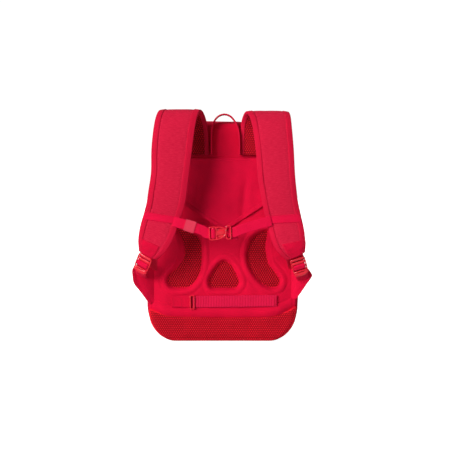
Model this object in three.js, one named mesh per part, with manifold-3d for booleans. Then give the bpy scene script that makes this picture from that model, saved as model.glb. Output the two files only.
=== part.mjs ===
// Cycling backpack, seen from the side that lies on the wearer's back.
// Millimetres, +Z up, +X to the right of that view, -Y towards the wearer.
import * as THREE from 'three';
import { mergeVertices } from 'three/addons/utils/BufferGeometryUtils.js';
import Module from 'manifold-3d';

const wasm = await Module();
wasm.setup();

// ---------------------------------------------------------------- driving sizes
const BODY_H = 450;          // height of the bag
const BODY_HW = 154;         // half its width at the widest
const WALL = 2.5;            // outer fabric with its lining
const GAP = 0.3;             // between pieces that touch
const SEAM_Y = -84;          // plane where the back panel is sewn on
const FRONT_Y = 45;          // plane where the front panel is sewn on
const PANEL_BASE = 7.5;      // thickness of the back panel away from its pads
const PAD_RISE = 5.5;        // how far the pads stand up from that
const ZIP_Y0 = 18, ZIP_Y1 = 26;
const CHEST_WEB_W = 20, CHEST_WEB_T = 1.3;
const ADJ_WEB_W = 25, ADJ_WEB_T = 1.4;
const LOW_WEB_W = 24, LOW_WEB_T = 1.6;
const STRAP_EDGE = 2.6;      // half thickness of a strap at its bound edge
const STRAP_CORE = 6.2;      // half thickness of a strap at its middle

// half width of the bag at each height
const OUTLINE = [ // z, half
  [0, 101], [7, 122], [15, 133], [24, 141], [33, 146.5], [43, 150.5], [60, 153], [80, 154],
  [130, 154], [190, 153], [250, 150], [300, 146], [340, 142], [380, 137], [400, 133],
  [418, 126], [432, 116], [442, 102], [447.5, 88], [450, 74],
];
// how that outline changes through the depth of the bag
const STATIONS = [ // y, add to half width, top, bottom
  [-84, -1.5, 446, -1.5], [-74, 0, 449.5, -2.5], [-42, 1.5, 450, -2.5], [-8, 2, 449, -2.5],
  [18, 1.5, 446, -2.5], [26, 1, 444.5, -2.5], [45, -1, 438, -2.5],
];
// dome of the front panel
const DOME = [ // y, scale of the outline
  [45.3, 1], [54, 0.992], [63, 0.968], [70, 0.92], [75, 0.84], [79, 0.7], [82, 0.5], [84, 0.25],
];
// border between the back panel and the lumbar pad
const BORDER = [ // x, z
  [-151, 67], [-130, 59], [-108, 52.5], [-60, 50], [0, 49], [60, 49.5], [97, 51], [128, 60], [151, 73],
];
// outlines of the three recesses
const KIDNEY_LEFT = [ // x, z
  [-96, 233], [-70, 226], [-45, 211], [-39, 179], [-43, 140], [-57, 116], [-74, 106], [-104, 107],
  [-115, 120], [-112, 136], [-94, 152], [-82, 170], [-80, 189], [-86, 209],
];
const KIDNEY_RIGHT = [ // x, z
  [95, 226], [90, 193], [90, 179], [96, 160], [112, 140], [121, 124], [116, 110], [100, 106],
  [83, 112], [65, 130], [53, 150], [48, 173], [51, 193], [59, 211], [74, 223],
];
const CENTER_RECESS = [ // x, z
  [-30, 120], [-26, 134], [-11, 157], [4, 166], [19, 158], [31, 138], [37, 120], [28, 106], [4, 104.5], [-22, 106],
];
// shoulder straps, a row for each section from the yoke seam over the crest to the adjuster
const STRAP_LEFT = [ // x, y, z, width, tilt
  [-66, -100, 380, 74, 0], [-67, -101, 412, 75, 0], [-71, -107, 440, 76, 0], [-77, -121, 458, 76, 0],
  [-84, -140, 464, 76, 0], [-90, -157, 455, 77, 0], [-95, -167, 432, 78, 0], [-100, -172, 388, 77, 2],
  [-103.5, -172, 341, 72, 5], [-109, -169, 301, 73, 8], [-114, -165, 277, 71, 9], [-121, -161, 254, 69, 12],
  [-128, -162, 232, 68, 16], [-135, -161.5, 212, 63, 20], [-142.6, -158, 194, 52, 24], [-150, -152, 180, 35, 26],
];
const STRAP_RIGHT = [ // x, y, z, width, tilt
  [73, -100, 380, 73, 0], [74, -101, 412, 74, 0], [77, -107, 440, 76, 0], [83, -121, 456, 78, 0],
  [90, -140, 461, 78, 0], [95, -157, 453, 77, 0], [98.5, -167, 432, 74, 0], [103, -172, 388, 72, 1],
  [106, -172, 341, 71, 3], [110, -169, 311, 69, 5], [115, -165, 281, 67, 6], [121, -161, 256, 66, 7],
  [126.5, -162, 232, 66, 9], [132, -161.5, 211, 63, 11], [139.8, -158, 193.5, 53, 12], [147.2, -151.5, 178.5, 35, 13],
];
// side tabs, a row for each height: outer edge of the cloth and how far it stands off
const TAB = {
  left: [ // z, outer x, outer y
    [77, 151, -95.5], [90, 160, -98], [104, 170, -102], [119, 180, -107], [134, 182.5, -111], [150, 180, -113], [160, 168, -110],
  ],
  right: [ // z, outer x, outer y
    [86, 151, -95.5], [100, 161, -98], [117, 172, -102], [134, 182, -108], [146, 180, -111], [156, 177, -112], [165, 168, -110],
  ],
};
const TAB_INNER_X = 141, TAB_INNER_Y = -94.4, TAB_T = 2.4;
// fastened buckle: u along the chest strap, in its own frame
const BUCKLE = { x: -5.2, y: -170, z: 224, tilt: 3, half: 21.5, t: 3.6, w: 27, housing: 8 };
// strap adjusters: middle of the top edge, direction down the adjuster, direction across
const LOCKS = {
  left: { o: [-154, -147, 173.5], down: [-13, 19, -34], across: [0.86, 0.08, -0.5] },
  right: { o: [149.2, -146, 170.5], down: [10.5, 19, -38], across: [0.97, -0.08, 0.25] },
};
const LOCK_W = 31, LOCK_L = 37, LOCK_T = 3.6;

// ---------------------------------------------------------------- colours
const RED = { cloth: 0xc80a32, texture: 0xc41f3d, bind: 0xd8123c, mesh: 0x8e0d1c, web: 0xdc1444, pale: 0xd83c58, plastic: 0xd8392c };
const mat = (color, roughness, metalness = 0) => new THREE.MeshStandardMaterial({ color, roughness, metalness });

// ---------------------------------------------------------------- helpers
const V = (x, y, z) => new THREE.Vector3(x, y, z);
const RAD = Math.PI / 180;
const clamp = (t, a = 0, b = 1) => Math.min(b, Math.max(a, t));
const smooth = (a, b, t) => { const k = clamp((t - a) / (b - a)); return k * k * (3 - 2 * k); };

const group = new THREE.Group();

function geometryOf(verts, tris) {
  const g = new THREE.BufferGeometry();
  const pos = new Float32Array(verts.length * 3);
  verts.forEach((v, i) => { pos[3 * i] = v.x; pos[3 * i + 1] = v.y; pos[3 * i + 2] = v.z; });
  let vol = 0;
  for (const [a, b, c] of tris) vol += verts[a].dot(V(0, 0, 0).crossVectors(verts[b], verts[c]));
  const flat = [];
  for (const [a, b, c] of tris) vol < 0 ? flat.push(a, c, b) : flat.push(a, b, c);
  g.setAttribute('position', new THREE.BufferAttribute(pos, 3));
  g.setIndex(flat);
  return g;
}
function add(name, geometry, color, roughness, metalness) {
  geometry.computeVertexNormals();
  const m = new THREE.Mesh(geometry, mat(color, roughness, metalness));
  m.name = name;
  group.add(m);
  return m;
}
// value of a table at a running row number, smooth through the rows
function row(table, s) {
  const n = table.length, i = Math.min(n - 2, Math.max(0, Math.floor(s))), t = s - i;
  const p = k => table[Math.min(n - 1, Math.max(0, k))];
  return table[i].map((_, c) => {
    const [a, b, d, e] = [p(i - 1)[c], p(i)[c], p(i + 1)[c], p(i + 2)[c]];
    return b + 0.5 * t * (d - a + t * (2 * a - 5 * b + 4 * d - e + t * (3 * (b - d) + e - a)));
  });
}
// value of column c of a table at x in column 0, straight between the rows
function at(table, x, c = 1) {
  const n = table.length;
  if (x <= table[0][0]) return table[0][c];
  for (let i = 1; i < n; i++) {
    if (x <= table[i][0]) {
      const k = (x - table[i - 1][0]) / (table[i][0] - table[i - 1][0]);
      return table[i - 1][c] + k * (table[i][c] - table[i - 1][c]);
    }
  }
  return table[n - 1][c];
}
// closed rings joined one after the other, with both ends capped
function loft(rings) {
  const m = rings[0].length, verts = rings.flat(), tris = [];
  for (let i = 0; i + 1 < rings.length; i++) {
    for (let j = 0; j < m; j++) {
      const a = i * m + j, b = i * m + (j + 1) % m;
      tris.push([a, b, a + m], [b, b + m, a + m]);
    }
  }
  const cap = (start, flip) => {
    const c = V(0, 0, 0);
    for (let j = 0; j < m; j++) c.add(verts[start + j]);
    verts.push(c.multiplyScalar(1 / m));
    const k = verts.length - 1;
    for (let j = 0; j < m; j++) {
      const a = start + j, b = start + (j + 1) % m;
      tris.push(flip ? [b, a, k] : [a, b, k]);
    }
  };
  cap(0, true);
  cap((rings.length - 1) * m, false);
  return geometryOf(verts, tris);
}
// closed sections joined round a closed loop
function hoop(sections) {
  const n = sections.length, m = sections[0].length, verts = sections.flat(), tris = [];
  for (let i = 0; i < n; i++) {
    for (let j = 0; j < m; j++) {
      const a = i * m + j, b = i * m + (j + 1) % m, c = ((i + 1) % n) * m + j, d = ((i + 1) % n) * m + (j + 1) % m;
      tris.push([a, b, c], [b, d, c]);
    }
  }
  return geometryOf(verts, tris);
}
// a sheet given by its face and its back, both grids of points; a flat back is closed from its border only
function plate(face, back, flatBack = false) {
  const r = face.length, c = face[0].length, verts = face.flat(), tris = [];
  const id = (i, j) => i * c + j;
  for (let i = 0; i + 1 < r; i++) for (let j = 0; j + 1 < c; j++) {
    tris.push([id(i, j), id(i, j + 1), id(i + 1, j)], [id(i, j + 1), id(i + 1, j + 1), id(i + 1, j)]);
  }
  const rim = [];
  for (let j = 0; j < c; j++) rim.push([0, j]);
  for (let i = 1; i < r; i++) rim.push([i, c - 1]);
  for (let j = c - 2; j >= 0; j--) rim.push([r - 1, j]);
  for (let i = r - 2; i > 0; i--) rim.push([i, 0]);
  const base = verts.length;
  const backId = flatBack ? (k => base + k) : (k => base + id(rim[k][0], rim[k][1]));
  if (flatBack) {
    rim.forEach(([i, j]) => verts.push(back[i][j]));
    const contour = rim.map(([i, j]) => new THREE.Vector2(back[i][j].x, back[i][j].z));
    const clockwise = THREE.ShapeUtils.isClockWise(contour);
    for (const [a, b, d] of THREE.ShapeUtils.triangulateShape(contour, [])) {
      tris.push(clockwise ? [base + a, base + b, base + d] : [base + b, base + a, base + d]);
    }
    // keep the back wound against the face
    const [a, b, d] = tris[tris.length - 1];
    const up = V(0, 0, 0).crossVectors(verts[b].clone().sub(verts[a]), verts[d].clone().sub(verts[a])).y;
    const f = tris[0];
    const fu = V(0, 0, 0).crossVectors(verts[f[1]].clone().sub(verts[f[0]]), verts[f[2]].clone().sub(verts[f[0]])).y;
    if (Math.sign(up) === Math.sign(fu)) {
      for (let k = 2 * (r - 1) * (c - 1); k < tris.length; k++) tris[k] = [tris[k][1], tris[k][0], tris[k][2]];
    }
  } else {
    verts.push(...back.flat());
    for (let i = 0; i + 1 < r; i++) for (let j = 0; j + 1 < c; j++) {
      tris.push([base + id(i, j + 1), base + id(i, j), base + id(i + 1, j)], [base + id(i + 1, j + 1), base + id(i, j + 1), base + id(i + 1, j)]);
    }
  }
  for (let k = 0; k < rim.length; k++) {
    const q = (k + 1) % rim.length;
    const a = id(rim[k][0], rim[k][1]), b = id(rim[q][0], rim[q][1]);
    tris.push([b, a, backId(k)], [b, backId(k), backId(q)]);
  }
  return geometryOf(verts, tris);
}
// webbing through stations {p, w}: place and direction of its width
function ribbon(stations, width, thick) {
  const n = stations.length, dirs = [];
  for (let i = 0; i + 1 < n; i++) dirs.push(stations[i + 1].p.clone().sub(stations[i].p).normalize());
  return loft(stations.map(({ p, w }, i) => {
    const a = V(0, 0, 0).crossVectors(dirs[Math.max(0, i - 1)], w).normalize();
    const b = V(0, 0, 0).crossVectors(dirs[Math.min(n - 2, i)], w).normalize();
    const nrm = a.clone().add(b).normalize();
    const k = thick / 2 / Math.max(0.5, nrm.dot(a));
    const e = w.clone().normalize().multiplyScalar(width / 2), h = nrm.multiplyScalar(k);
    return [p.clone().add(e).add(h), p.clone().sub(e).add(h), p.clone().sub(e).sub(h), p.clone().add(e).sub(h)];
  }));
}
function clean(geometry) {
  const g = geometry.index ? geometry.toNonIndexed() : geometry.clone();
  for (const k of Object.keys(g.attributes)) if (k !== 'position') g.deleteAttribute(k);
  return mergeVertices(g, 1e-4);
}
function toSolid(geometry) {
  const g = clean(geometry);
  return new wasm.Manifold(new wasm.Mesh({ numProp: 3, vertProperties: new Float32Array(g.attributes.position.array), triVerts: new Uint32Array(g.index.array) }));
}
function fromSolid(solid) {
  const m = solid.getMesh(), g = new THREE.BufferGeometry(), pos = new Float32Array(m.numVert * 3);
  for (let i = 0; i < m.numVert; i++) for (let k = 0; k < 3; k++) pos[3 * i + k] = m.vertProperties[i * m.numProp + k];
  g.setAttribute('position', new THREE.BufferAttribute(pos, 3));
  g.setIndex(Array.from(m.triVerts));
  return g;
}
// a flat outline with holes, extruded evenly to both sides, placed by a frame of three directions
function flatPart(outline, holes, thick, frame, bevel = 0) {
  const shape = new THREE.Shape(outline.map(([u, v]) => new THREE.Vector2(u, v)));
  for (const h of holes) shape.holes.push(new THREE.Path(h.map(([u, v]) => new THREE.Vector2(u, v))));
  const g = new THREE.ExtrudeGeometry(shape, bevel
    ? { depth: thick - 2 * bevel, bevelEnabled: true, bevelThickness: bevel, bevelSize: bevel, bevelOffset: -bevel, bevelSegments: 1, curveSegments: 4 }
    : { depth: thick, bevelEnabled: false, curveSegments: 4 });
  g.translate(0, 0, bevel ? -(thick - 2 * bevel) / 2 : -thick / 2);
  if (frame) g.applyMatrix4(frame);
  return clean(g);
}
const frameOf = (o, u, v, h) => new THREE.Matrix4().makeBasis(u, v, h).setPosition(o);
const rect = (u0, u1, v0, v1) => [[u0, v0], [u1, v0], [u1, v1], [u0, v1]];

// ---------------------------------------------------------------- outline of the bag
const half = z => at(OUTLINE, z);
// points of the outline, round the bag: up the right, over the top, down the left, along the bottom
const LOOP = [
  ...OUTLINE.map(([z, w]) => [w, z]), [37, 450], [0, 450], [-37, 450],
  ...[...OUTLINE].reverse().map(([z, w]) => [-w, z]), [-48, 0], [0, 0], [48, 0],
];
const ZIP_FIRST = 9, ZIP_LAST = 33;   // rows of the loop where the zip starts and ends
function stationPoint([x, z], y) {
  const wide = at(STATIONS, y, 1), top = at(STATIONS, y, 2), bottom = at(STATIONS, y, 3);
  return [x * (1 + wide / BODY_HW), bottom + z * (top - bottom) / BODY_H];
}
function loopAt(y) {
  const pts = LOOP.map(p => stationPoint(p, y)), n = pts.length;
  return pts.map(([x, z], i) => {
    const a = pts[(i + n - 1) % n], b = pts[(i + 1) % n];
    const tx = b[0] - a[0], tz = b[1] - a[1], l = Math.hypot(tx, tz);
    return { x, z, nx: tz / l, nz: -tx / l };   // normal points out
  });
}
const offset = (q, y, d) => V(q.x + q.nx * d, y, q.z + q.nz * d);

// ---------------------------------------------------------------- gusset with the zip slot
const loops = STATIONS.map(([y]) => ({ y, pts: loopAt(y) }));
const gussetSections = LOOP.map((_, i) => [
  ...loops.map(({ y, pts }) => offset(pts[i], y, 0)),
  ...[...loops].reverse().map(({ y, pts }) => offset(pts[i], y, -WALL)),
]);
const zipSection = (s, y0, y1, d0, d1, ridge) => {
  const i = Math.floor(s), t = s - i;
  const pick = y => {
    const pts = loopAt(y), a = pts[i], b = pts[Math.min(i + 1, pts.length - 1)];
    return { x: a.x + t * (b.x - a.x), z: a.z + t * (b.z - a.z), nx: a.nx + t * (b.nx - a.nx), nz: a.nz + t * (b.nz - a.nz) };
  };
  const q0 = pick(y0), q1 = pick(y1), ym = (y0 + y1) / 2;
  const out = [offset(q0, y0, d1), offset(q0, y0, d0)];
  out.push(offset(q1, y1, d0), offset(q1, y1, d1));
  if (ridge) {
    const r0 = pick(ym + 1.8), r1 = pick(ym - 1.8);
    out.push(offset(r0, ym + 1.8, d1), offset(pick(ym + 1.4), ym + 1.4, d1 + ridge), offset(pick(ym - 1.4), ym - 1.4, d1 + ridge), offset(r1, ym - 1.8, d1));
  }
  return out;
};
const zipRows = [];
for (let s = ZIP_FIRST; s <= ZIP_LAST; s++) zipRows.push(s);
const slot = toSolid(loft(zipRows.map(s => zipSection(s, ZIP_Y0, ZIP_Y1, -7, 4, 0))));
add('body_gusset', fromSolid(toSolid(hoop(gussetSections)).subtract(slot)), RED.cloth, 0.8);
zipRows[0] += 0.02;
zipRows[zipRows.length - 1] -= 0.02;
add('zip_tape', loft(zipRows.map(s => zipSection(s, ZIP_Y0 + GAP, ZIP_Y1 - GAP, -2.1, -0.6, 1.2))), RED.web, 0.6);

// ---------------------------------------------------------------- zip slider and its pull
{
  const i = ZIP_LAST - 1, y = (ZIP_Y0 + ZIP_Y1) / 2, q = loopAt(y)[i], p = loopAt(y)[i + 1];
  const down = V(p.x - q.x, 0, p.z - q.z).normalize(), out = V(q.nx, 0, q.nz);
  out.addScaledVector(down, -out.dot(down)).normalize();
  const side = V(0, 1, 0);
  const base = V(q.x, y, q.z).addScaledVector(down, 22).addScaledVector(out, 3.4);
  const slider = frameOf(base, down, side, V(0, 0, 0).crossVectors(down, side));
  add('zip_slider', flatPart([[-6, -2.6], [-3, -4.2], [3, -4.2], [6, -3], [6, 3], [3, 4.2], [-3, 4.2], [-6, 2.6]], [], 4, slider, 0.6), RED.plastic, 0.4);
  const pull = frameOf(base.clone().addScaledVector(down, 22).addScaledVector(out, 1.2), down, side, V(0, 0, 0).crossVectors(down, side));
  add('zip_pull', flatPart([[-15.4, -2], [-12, -3.4], [12, -3.8], [15, -2.4], [15, 2.4], [12, 3.8], [-12, 3.4], [-15.4, 2]], [], 2.2, pull, 0.4), RED.plastic, 0.5);
}

// ---------------------------------------------------------------- domed front panel
{
  const rim = loopAt(FRONT_Y), Z0 = 200;
  const ring = (y, s) => rim.map(q => V(q.x * s, y, Z0 - 14 * (1 - s) + (q.z - Z0) * s));
  const outer = DOME.map(([y, s]) => ring(y, s));
  const inner = DOME.map(([y, s], i) => ring(i ? y - 2.6 : y, s - 0.018));
  const m = LOOP.length, rings = [...[...outer].reverse(), ...inner];
  add('front_panel', loft(rings), RED.cloth, 0.8);
}

// ---------------------------------------------------------------- back panel with its recesses
const panelHalf = z => half(clamp((z + 1.5) * BODY_H / 447.5, 0, BODY_H)) * (1 - 1.5 / BODY_HW) - 0.8;
const PANEL_TOP = 445, BACK_Y = SEAM_Y - GAP;
const border = x => at(BORDER, x);
const panelFace = (x, z) => {
  const k = clamp(Math.min(panelHalf(z) - Math.abs(x), PANEL_TOP - z) / 14);
  const edge = Math.sqrt(1 - (1 - k) * (1 - k));
  const pad = smooth(256, 228, z) * smooth(143, 122, Math.abs(x));
  const roll = Math.exp(-(((z - border(x) - 11) / 8) ** 2)) * smooth(146, 125, Math.abs(x));
  return BACK_Y - 3 - (PANEL_BASE - 3) * edge - PAD_RISE * pad - 2 * roll;
};
{
  const COLS = 24, ROWS = 34, face = [], back = [];
  for (let i = 0; i <= ROWS; i++) {
    const v = 1 - (1 - i / ROWS) ** 1.3, f = [], b = [];
    for (let j = 0; j <= COLS; j++) {
      const u = -1 + 2 * j / COLS, low = border(u * 147) + 0.4, z = low + v * (PANEL_TOP - low), x = u * panelHalf(z);
      f.push(V(x, panelFace(x, z), z));
      b.push(V(x, BACK_Y, z));
    }
    face.push(f); back.push(b);
  }
  const curve = table => new THREE.CatmullRomCurve3(table.map(([x, z]) => V(x, 0, z)), true, 'centripetal').getPoints(26).slice(0, -1);
  const prism = (table, y0, y1, grow) => {
    const pts = curve(table), n = pts.length;
    const moved = pts.map((p, i) => {
      const t = pts[(i + 1) % n].clone().sub(pts[(i + n - 1) % n]).normalize(), a = V(-t.z, 0, t.x);
      return p.clone().addScaledVector(a, grow);
    });
    return loft([moved.map(p => V(p.x, y0, p.z)), moved.map(p => V(p.x, y1, p.z))]);
  };
  const area = table => { const p = curve(table); let s = 0; p.forEach((a, i) => { const b = p[(i + 1) % p.length]; s += a.x * b.z - b.x * a.z; }); return s; };
  let panel = toSolid(plate(face, back, true));
  const FLOOR_Y = BACK_Y - 3;
  for (const [name, table] of [['left', KIDNEY_LEFT], ['right', KIDNEY_RIGHT], ['center', CENTER_RECESS]]) {
    panel = panel.subtract(toSolid(prism(table, FLOOR_Y, -125, 0)));
    const inward = area(table) > 0 ? 0.5 : -0.5;
    add(`recess_mesh_${name}`, prism(table, FLOOR_Y - GAP, FLOOR_Y - GAP - 2, inward), RED.mesh, 0.9);
  }
  add('back_panel', fromSolid(panel), RED.cloth, 0.75);
}

// ---------------------------------------------------------------- mesh-covered lumbar pad
{
  const COLS = 22, ROWS = 9, Z0 = -0.9, face = [], back = [];
  for (let i = 0; i <= ROWS; i++) {
    const f = [], b = [];
    for (let j = 0; j <= COLS; j++) {
      const u = -1 + 2 * j / COLS, top = border(u * 147) - 0.6, v = (i / ROWS) ** 1.25, z = Z0 + v * (top - Z0);
      const x = u * panelHalf(z);
      const k = clamp(Math.min(panelHalf(z) - Math.abs(x) + 1.5, z - Z0 + 1) / 15), edge = Math.sqrt(1 - (1 - k) * (1 - k));
      const seam = 0.72 + 0.28 * smooth(0, 9, top - z);
      f.push(V(x, BACK_Y - 2.2 - 9.5 * edge * seam, z));
      b.push(V(x, BACK_Y, z));
    }
    face.push(f); back.push(b);
  }
  add('lumbar_pad', plate(face, back, true), RED.mesh, 0.9);
}

// ---------------------------------------------------------------- cover flap with its free V edge
{
  const COLS = 18, ROWS = 9, TOP = 374, T = 3, face = [], back = [];
  const vEdge = x => 225 + 0.665 * Math.sqrt((x - 4) * (x - 4) + 20);
  for (let i = 0; i <= ROWS; i++) {
    const v = i / ROWS, f = [], b = [];
    for (let j = 0; j <= COLS; j++) {
      const u = -1 + 2 * j / COLS, z = TOP - v * (TOP - vEdge(u * 137)), x = u * (panelHalf(z) - 5);
      const y = -95.6 - 12.5 * v ** 1.2 * (1 - u * u) ** 0.8;
      f.push(V(x, y, z));
      b.push(V(x, y + T, z));
    }
    face.push(f); back.push(b);
  }
  add('cover_flap', plate(face, back), RED.cloth, 0.75);
}

// ---------------------------------------------------------------- shoulder straps
// a point of a strap: s along it in rows, u across from -1 to 1, side 1 on the outer face and -1 on the lining
function strapFrame(table, s) {
  const [x, y, z, w, tilt] = row(table, s);
  const e = 0.05, a = row(table, Math.max(0, s - e)), b = row(table, Math.min(table.length - 1, s + e));
  const dir = V(b[0] - a[0], b[1] - a[1], b[2] - a[2]).normalize();
  const flip = table === STRAP_RIGHT ? 1 : -1;
  const across = V(Math.cos(tilt * RAD), 0, flip * Math.sin(tilt * RAD));
  across.addScaledVector(dir, -across.dot(dir)).normalize();
  return { c: V(x, y, z), across, out: V(0, 0, 0).crossVectors(dir, across).normalize(), w };
}
const strapDepth = (u, w) => STRAP_EDGE + (STRAP_CORE - STRAP_EDGE) * (1 - Math.abs(u) ** 2.6) * clamp(w / 60, 0.35, 1);
function strapPoint(table, s, u, h) {
  const f = strapFrame(table, s);
  return f.c.clone().addScaledVector(f.across, u * f.w / 2).addScaledVector(f.out, h);
}
const ACROSS = [-1, -0.86, -0.5, 0, 0.5, 0.86, 1];
function strap(table) {
  const rings = [], STEPS = 30;
  for (let i = 0; i <= STEPS; i++) {
    const s = i * (table.length - 1) / STEPS, w = strapFrame(table, s).w;
    rings.push([
      ...ACROSS.map(u => strapPoint(table, s, u, strapDepth(u, w))),
      ...[...ACROSS].reverse().map(u => strapPoint(table, s, u, -strapDepth(u, w))),
    ]);
  }
  return loft(rings);
}
add('shoulder_strap_left', strap(STRAP_LEFT), RED.texture, 0.85);
add('shoulder_strap_right', strap(STRAP_RIGHT), RED.texture, 0.85);

// bands over the straps, where the chest strap is sewn on
function band(table, s0, s1, skew) {
  const us = [-0.99, -0.84, -0.45, 0, 0.45, 0.84, 0.99];
  const point = (s, u, h) => strapPoint(table, s, u, strapDepth(u, strapFrame(table, s).w) + h);
  const sheet = h => [0, 1, 2, 3, 4].map(i => us.map(u => point(s0 + (s1 - s0) * i / 4 + skew * u, u, h)));
  return plate(sheet(2.3), sheet(0.8));
}
add('chest_band_left', band(STRAP_LEFT, 10.67, 11.38, -0.24), RED.bind, 0.7);
add('chest_band_right', band(STRAP_RIGHT, 10.82, 11.52, 0.24), RED.bind, 0.7);

// ---------------------------------------------------------------- fastened buckle
const BT = BUCKLE.tilt * RAD;
const BU = V(Math.cos(BT), 0, Math.sin(BT)), BW = V(-Math.sin(BT), 0, Math.cos(BT)), BH = V(0, -1, 0);
const BO = V(BUCKLE.x, BUCKLE.y, BUCKLE.z).addScaledVector(BU, -BUCKLE.half);
const buckleFrame = frameOf(BO, BU, BW, BH);
const buckle = (u, v, h) => BO.clone().addScaledVector(BU, u).addScaledVector(BW, v).addScaledVector(BH, h);
{
  const W = BUCKLE.w / 2;
  const arm = s => [[14.4, s * 9.4], [21.8, s * 9.4], [23, s * 12.6], [27.4, s * 12.6], [28.6, s * 9.2], [31, s * 7.4], [30.2, s * 6.2], [26, s * 7.6], [20, s * 6.2], [14.4, s * 5.6]];
  const outline = [[0, -W + 1.5], [1.5, -W], [13.4, -W], [14.4, -W + 1], ...arm(-1), [14.4, -2], [28, -1.6], [29.5, 0], [28, 1.6], [14.4, 2], ...arm(1).reverse(), [14.4, W - 1], [13.4, W], [1.5, W], [0, W - 1.5]];
  const slots = [rect(2.4, 5.8, -10.7, 10.7), rect(8.4, 11.8, -10.5, 10.5)];
  add('buckle_male', flatPart(outline, slots, BUCKLE.t, buckleFrame), RED.plastic, 0.35);
  const shell = flatPart([[14.9, -12.6], [20.4, -12.6], [21.8, -8.6], [28.4, -8.6], [29.4, -12.6], [32.5, -12.2], [33.4, -11], [33.4, 11], [32.5, 12.2], [29.4, 12.6], [28.4, 8.6], [21.8, 8.6], [20.4, 12.6], [14.9, 12.6]], [], BUCKLE.housing, null, 0.8);
  const cavity = flatPart(rect(13, 31.9, -9.9, 9.9), [], BUCKLE.t + 0.8, null);
  const loop = flatPart([[32.8, -11.4], [34, -12.8], [40, -12.6], [42.6, -8], [43, 0], [42.6, 8], [40, 12.6], [34, 12.8], [32.8, 11.4]], [rect(34.6, 38.4, -10.6, 10.6)], BUCKLE.t, null);
  const female = toSolid(shell).subtract(toSolid(cavity)).add(toSolid(loop));
  const g = fromSolid(female);
  g.applyMatrix4(buckleFrame);
  add('buckle_female', g, RED.plastic, 0.35);
}

// ---------------------------------------------------------------- chest strap webbing
const tiltW = deg => V(Math.sin(deg * RAD), 0, Math.cos(deg * RAD));
add('chest_web_left', ribbon([
  { p: V(-84, -165.6, 243.5), w: tiltW(12) }, { p: V(-77, -168, 241.4), w: tiltW(14) }, { p: V(-52, -168.6, 233.8), w: tiltW(17) }, { p: V(-38, -167.6, 229), w: tiltW(15) },
  { p: buckle(-4, 0, -3.2), w: tiltW(3) }, { p: buckle(4.1, 0, -2.9), w: BW }, { p: buckle(4.1, 0, 2.9), w: BW },
  { p: buckle(10.1, 0, 2.9), w: BW }, { p: buckle(10.1, 0, -2.6), w: BW },
], CHEST_WEB_W, CHEST_WEB_T), RED.web, 0.65);
add('chest_web_right', ribbon([
  { p: V(86, -165.4, 245), w: tiltW(-11) }, { p: V(70, -168.4, 241.2), w: tiltW(-13) }, { p: V(45, -170.6, 233.8), w: tiltW(-13) },
  { p: buckle(49, 0, 3), w: tiltW(-8) }, { p: buckle(36.5, 0, 2.9), w: BW }, { p: buckle(36.5, 0, -2.9), w: BW },
  { p: buckle(48, -1.5, -3.1), w: tiltW(-4) }, { p: buckle(58, -2.5, -2), w: tiltW(-8) },
], CHEST_WEB_W, CHEST_WEB_T), RED.web, 0.65);
{
  const dir = V(25, -0.6, -7.6).normalize(), w = V(0.29, 0, 0.957);
  w.addScaledVector(dir, -w.dot(dir)).normalize();
  const n = V(0, 0, 0).crossVectors(dir, w);
  const c = V(-64.5, -168.3, 237.6);
  const sleeve = frameOf(c, w, n, dir);
  add('web_keeper', flatPart(rect(-11.8, 11.8, -2.3, 2.3), [rect(-10.6, 10.6, -1.15, 1.15)], 21, sleeve), RED.pale, 0.8);
}

// ---------------------------------------------------------------- strap adjusters, their webbing and the side tabs
for (const side of ['left', 'right']) {
  const L = LOCKS[side], s = side === 'left' ? -1 : 1;
  const down = V(...L.down).normalize(), across = V(...L.across);
  across.addScaledVector(down, -across.dot(down)).normalize();
  const out = V(0, 0, 0).crossVectors(across, down);
  if (out.y > 0) out.negate();
  const o = V(...L.o);
  const q = (v, h) => o.clone().addScaledVector(down, v).addScaledVector(out, h);
  const handed = V(0, 0, 0).crossVectors(across, down).dot(out) > 0;
  const frame = frameOf(o, across, down, handed ? out : out.clone().negate());
  const w = LOCK_W / 2, l = LOCK_L;
  const outline = [[-w + 2, 0], [w - 2, 0], [w, 2], [w, 24], [w - 3, 32], [w - 7, l - 1], [w - 11, l], [-w + 11, l], [-w + 7, l - 1], [-w + 3, 32], [-w, 24], [-w, 2]];
  add(`ladder_lock_${side}`, flatPart(outline, [rect(-13, 13, 4, 8), rect(-12.8, 12.8, 13, 17), rect(-12.6, 12.6, 22, 27)], LOCK_T, frame), RED.plastic, 0.35);
  const start = V(s * 163, -112, side === 'left' ? 126 : 124);
  const web = [
    { p: start, w: V(1, 0, s * 0.2) }, { p: q(41, -3.8), w: across.clone() }, { p: q(24.5, -2.9), w: across.clone() }, { p: q(24.5, 2.9), w: across.clone() },
    { p: q(15, 2.9), w: across.clone() }, { p: q(15, -2.9), w: across.clone() }, { p: q(7, -3.4), w: across.clone() },
  ];
  add(`adjuster_web_${side}`, ribbon(web, ADJ_WEB_W - 0.6, ADJ_WEB_T), RED.web, 0.65);

  // triangular cloth tab, sewn to the seam of the back panel
  const face = [], back = [], COLS = 5, ROWS = 10;
  for (let i = 0; i <= ROWS; i++) {
    const tab = TAB[side], z = tab[0][0] + (tab[tab.length - 1][0] - tab[0][0]) * i / ROWS;
    const ox = at(tab, z, 1), oy = at(tab, z, 2), f = [], b = [];
    for (let j = 0; j <= COLS; j++) {
      const t = j / COLS, x = TAB_INNER_X + t * (ox - TAB_INNER_X), y = TAB_INNER_Y + t * (oy - TAB_INNER_Y) - 2.5 * Math.sin(Math.PI * t) * smooth(78, 110, z);
      f.push(V(s * x, y - TAB_T / 2, z));
      b.push(V(s * x, y + TAB_T / 2, z));
    }
    face.push(f); back.push(b);
  }
  add(`side_tab_${side}`, plate(face, back), RED.cloth, 0.75);
}

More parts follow.
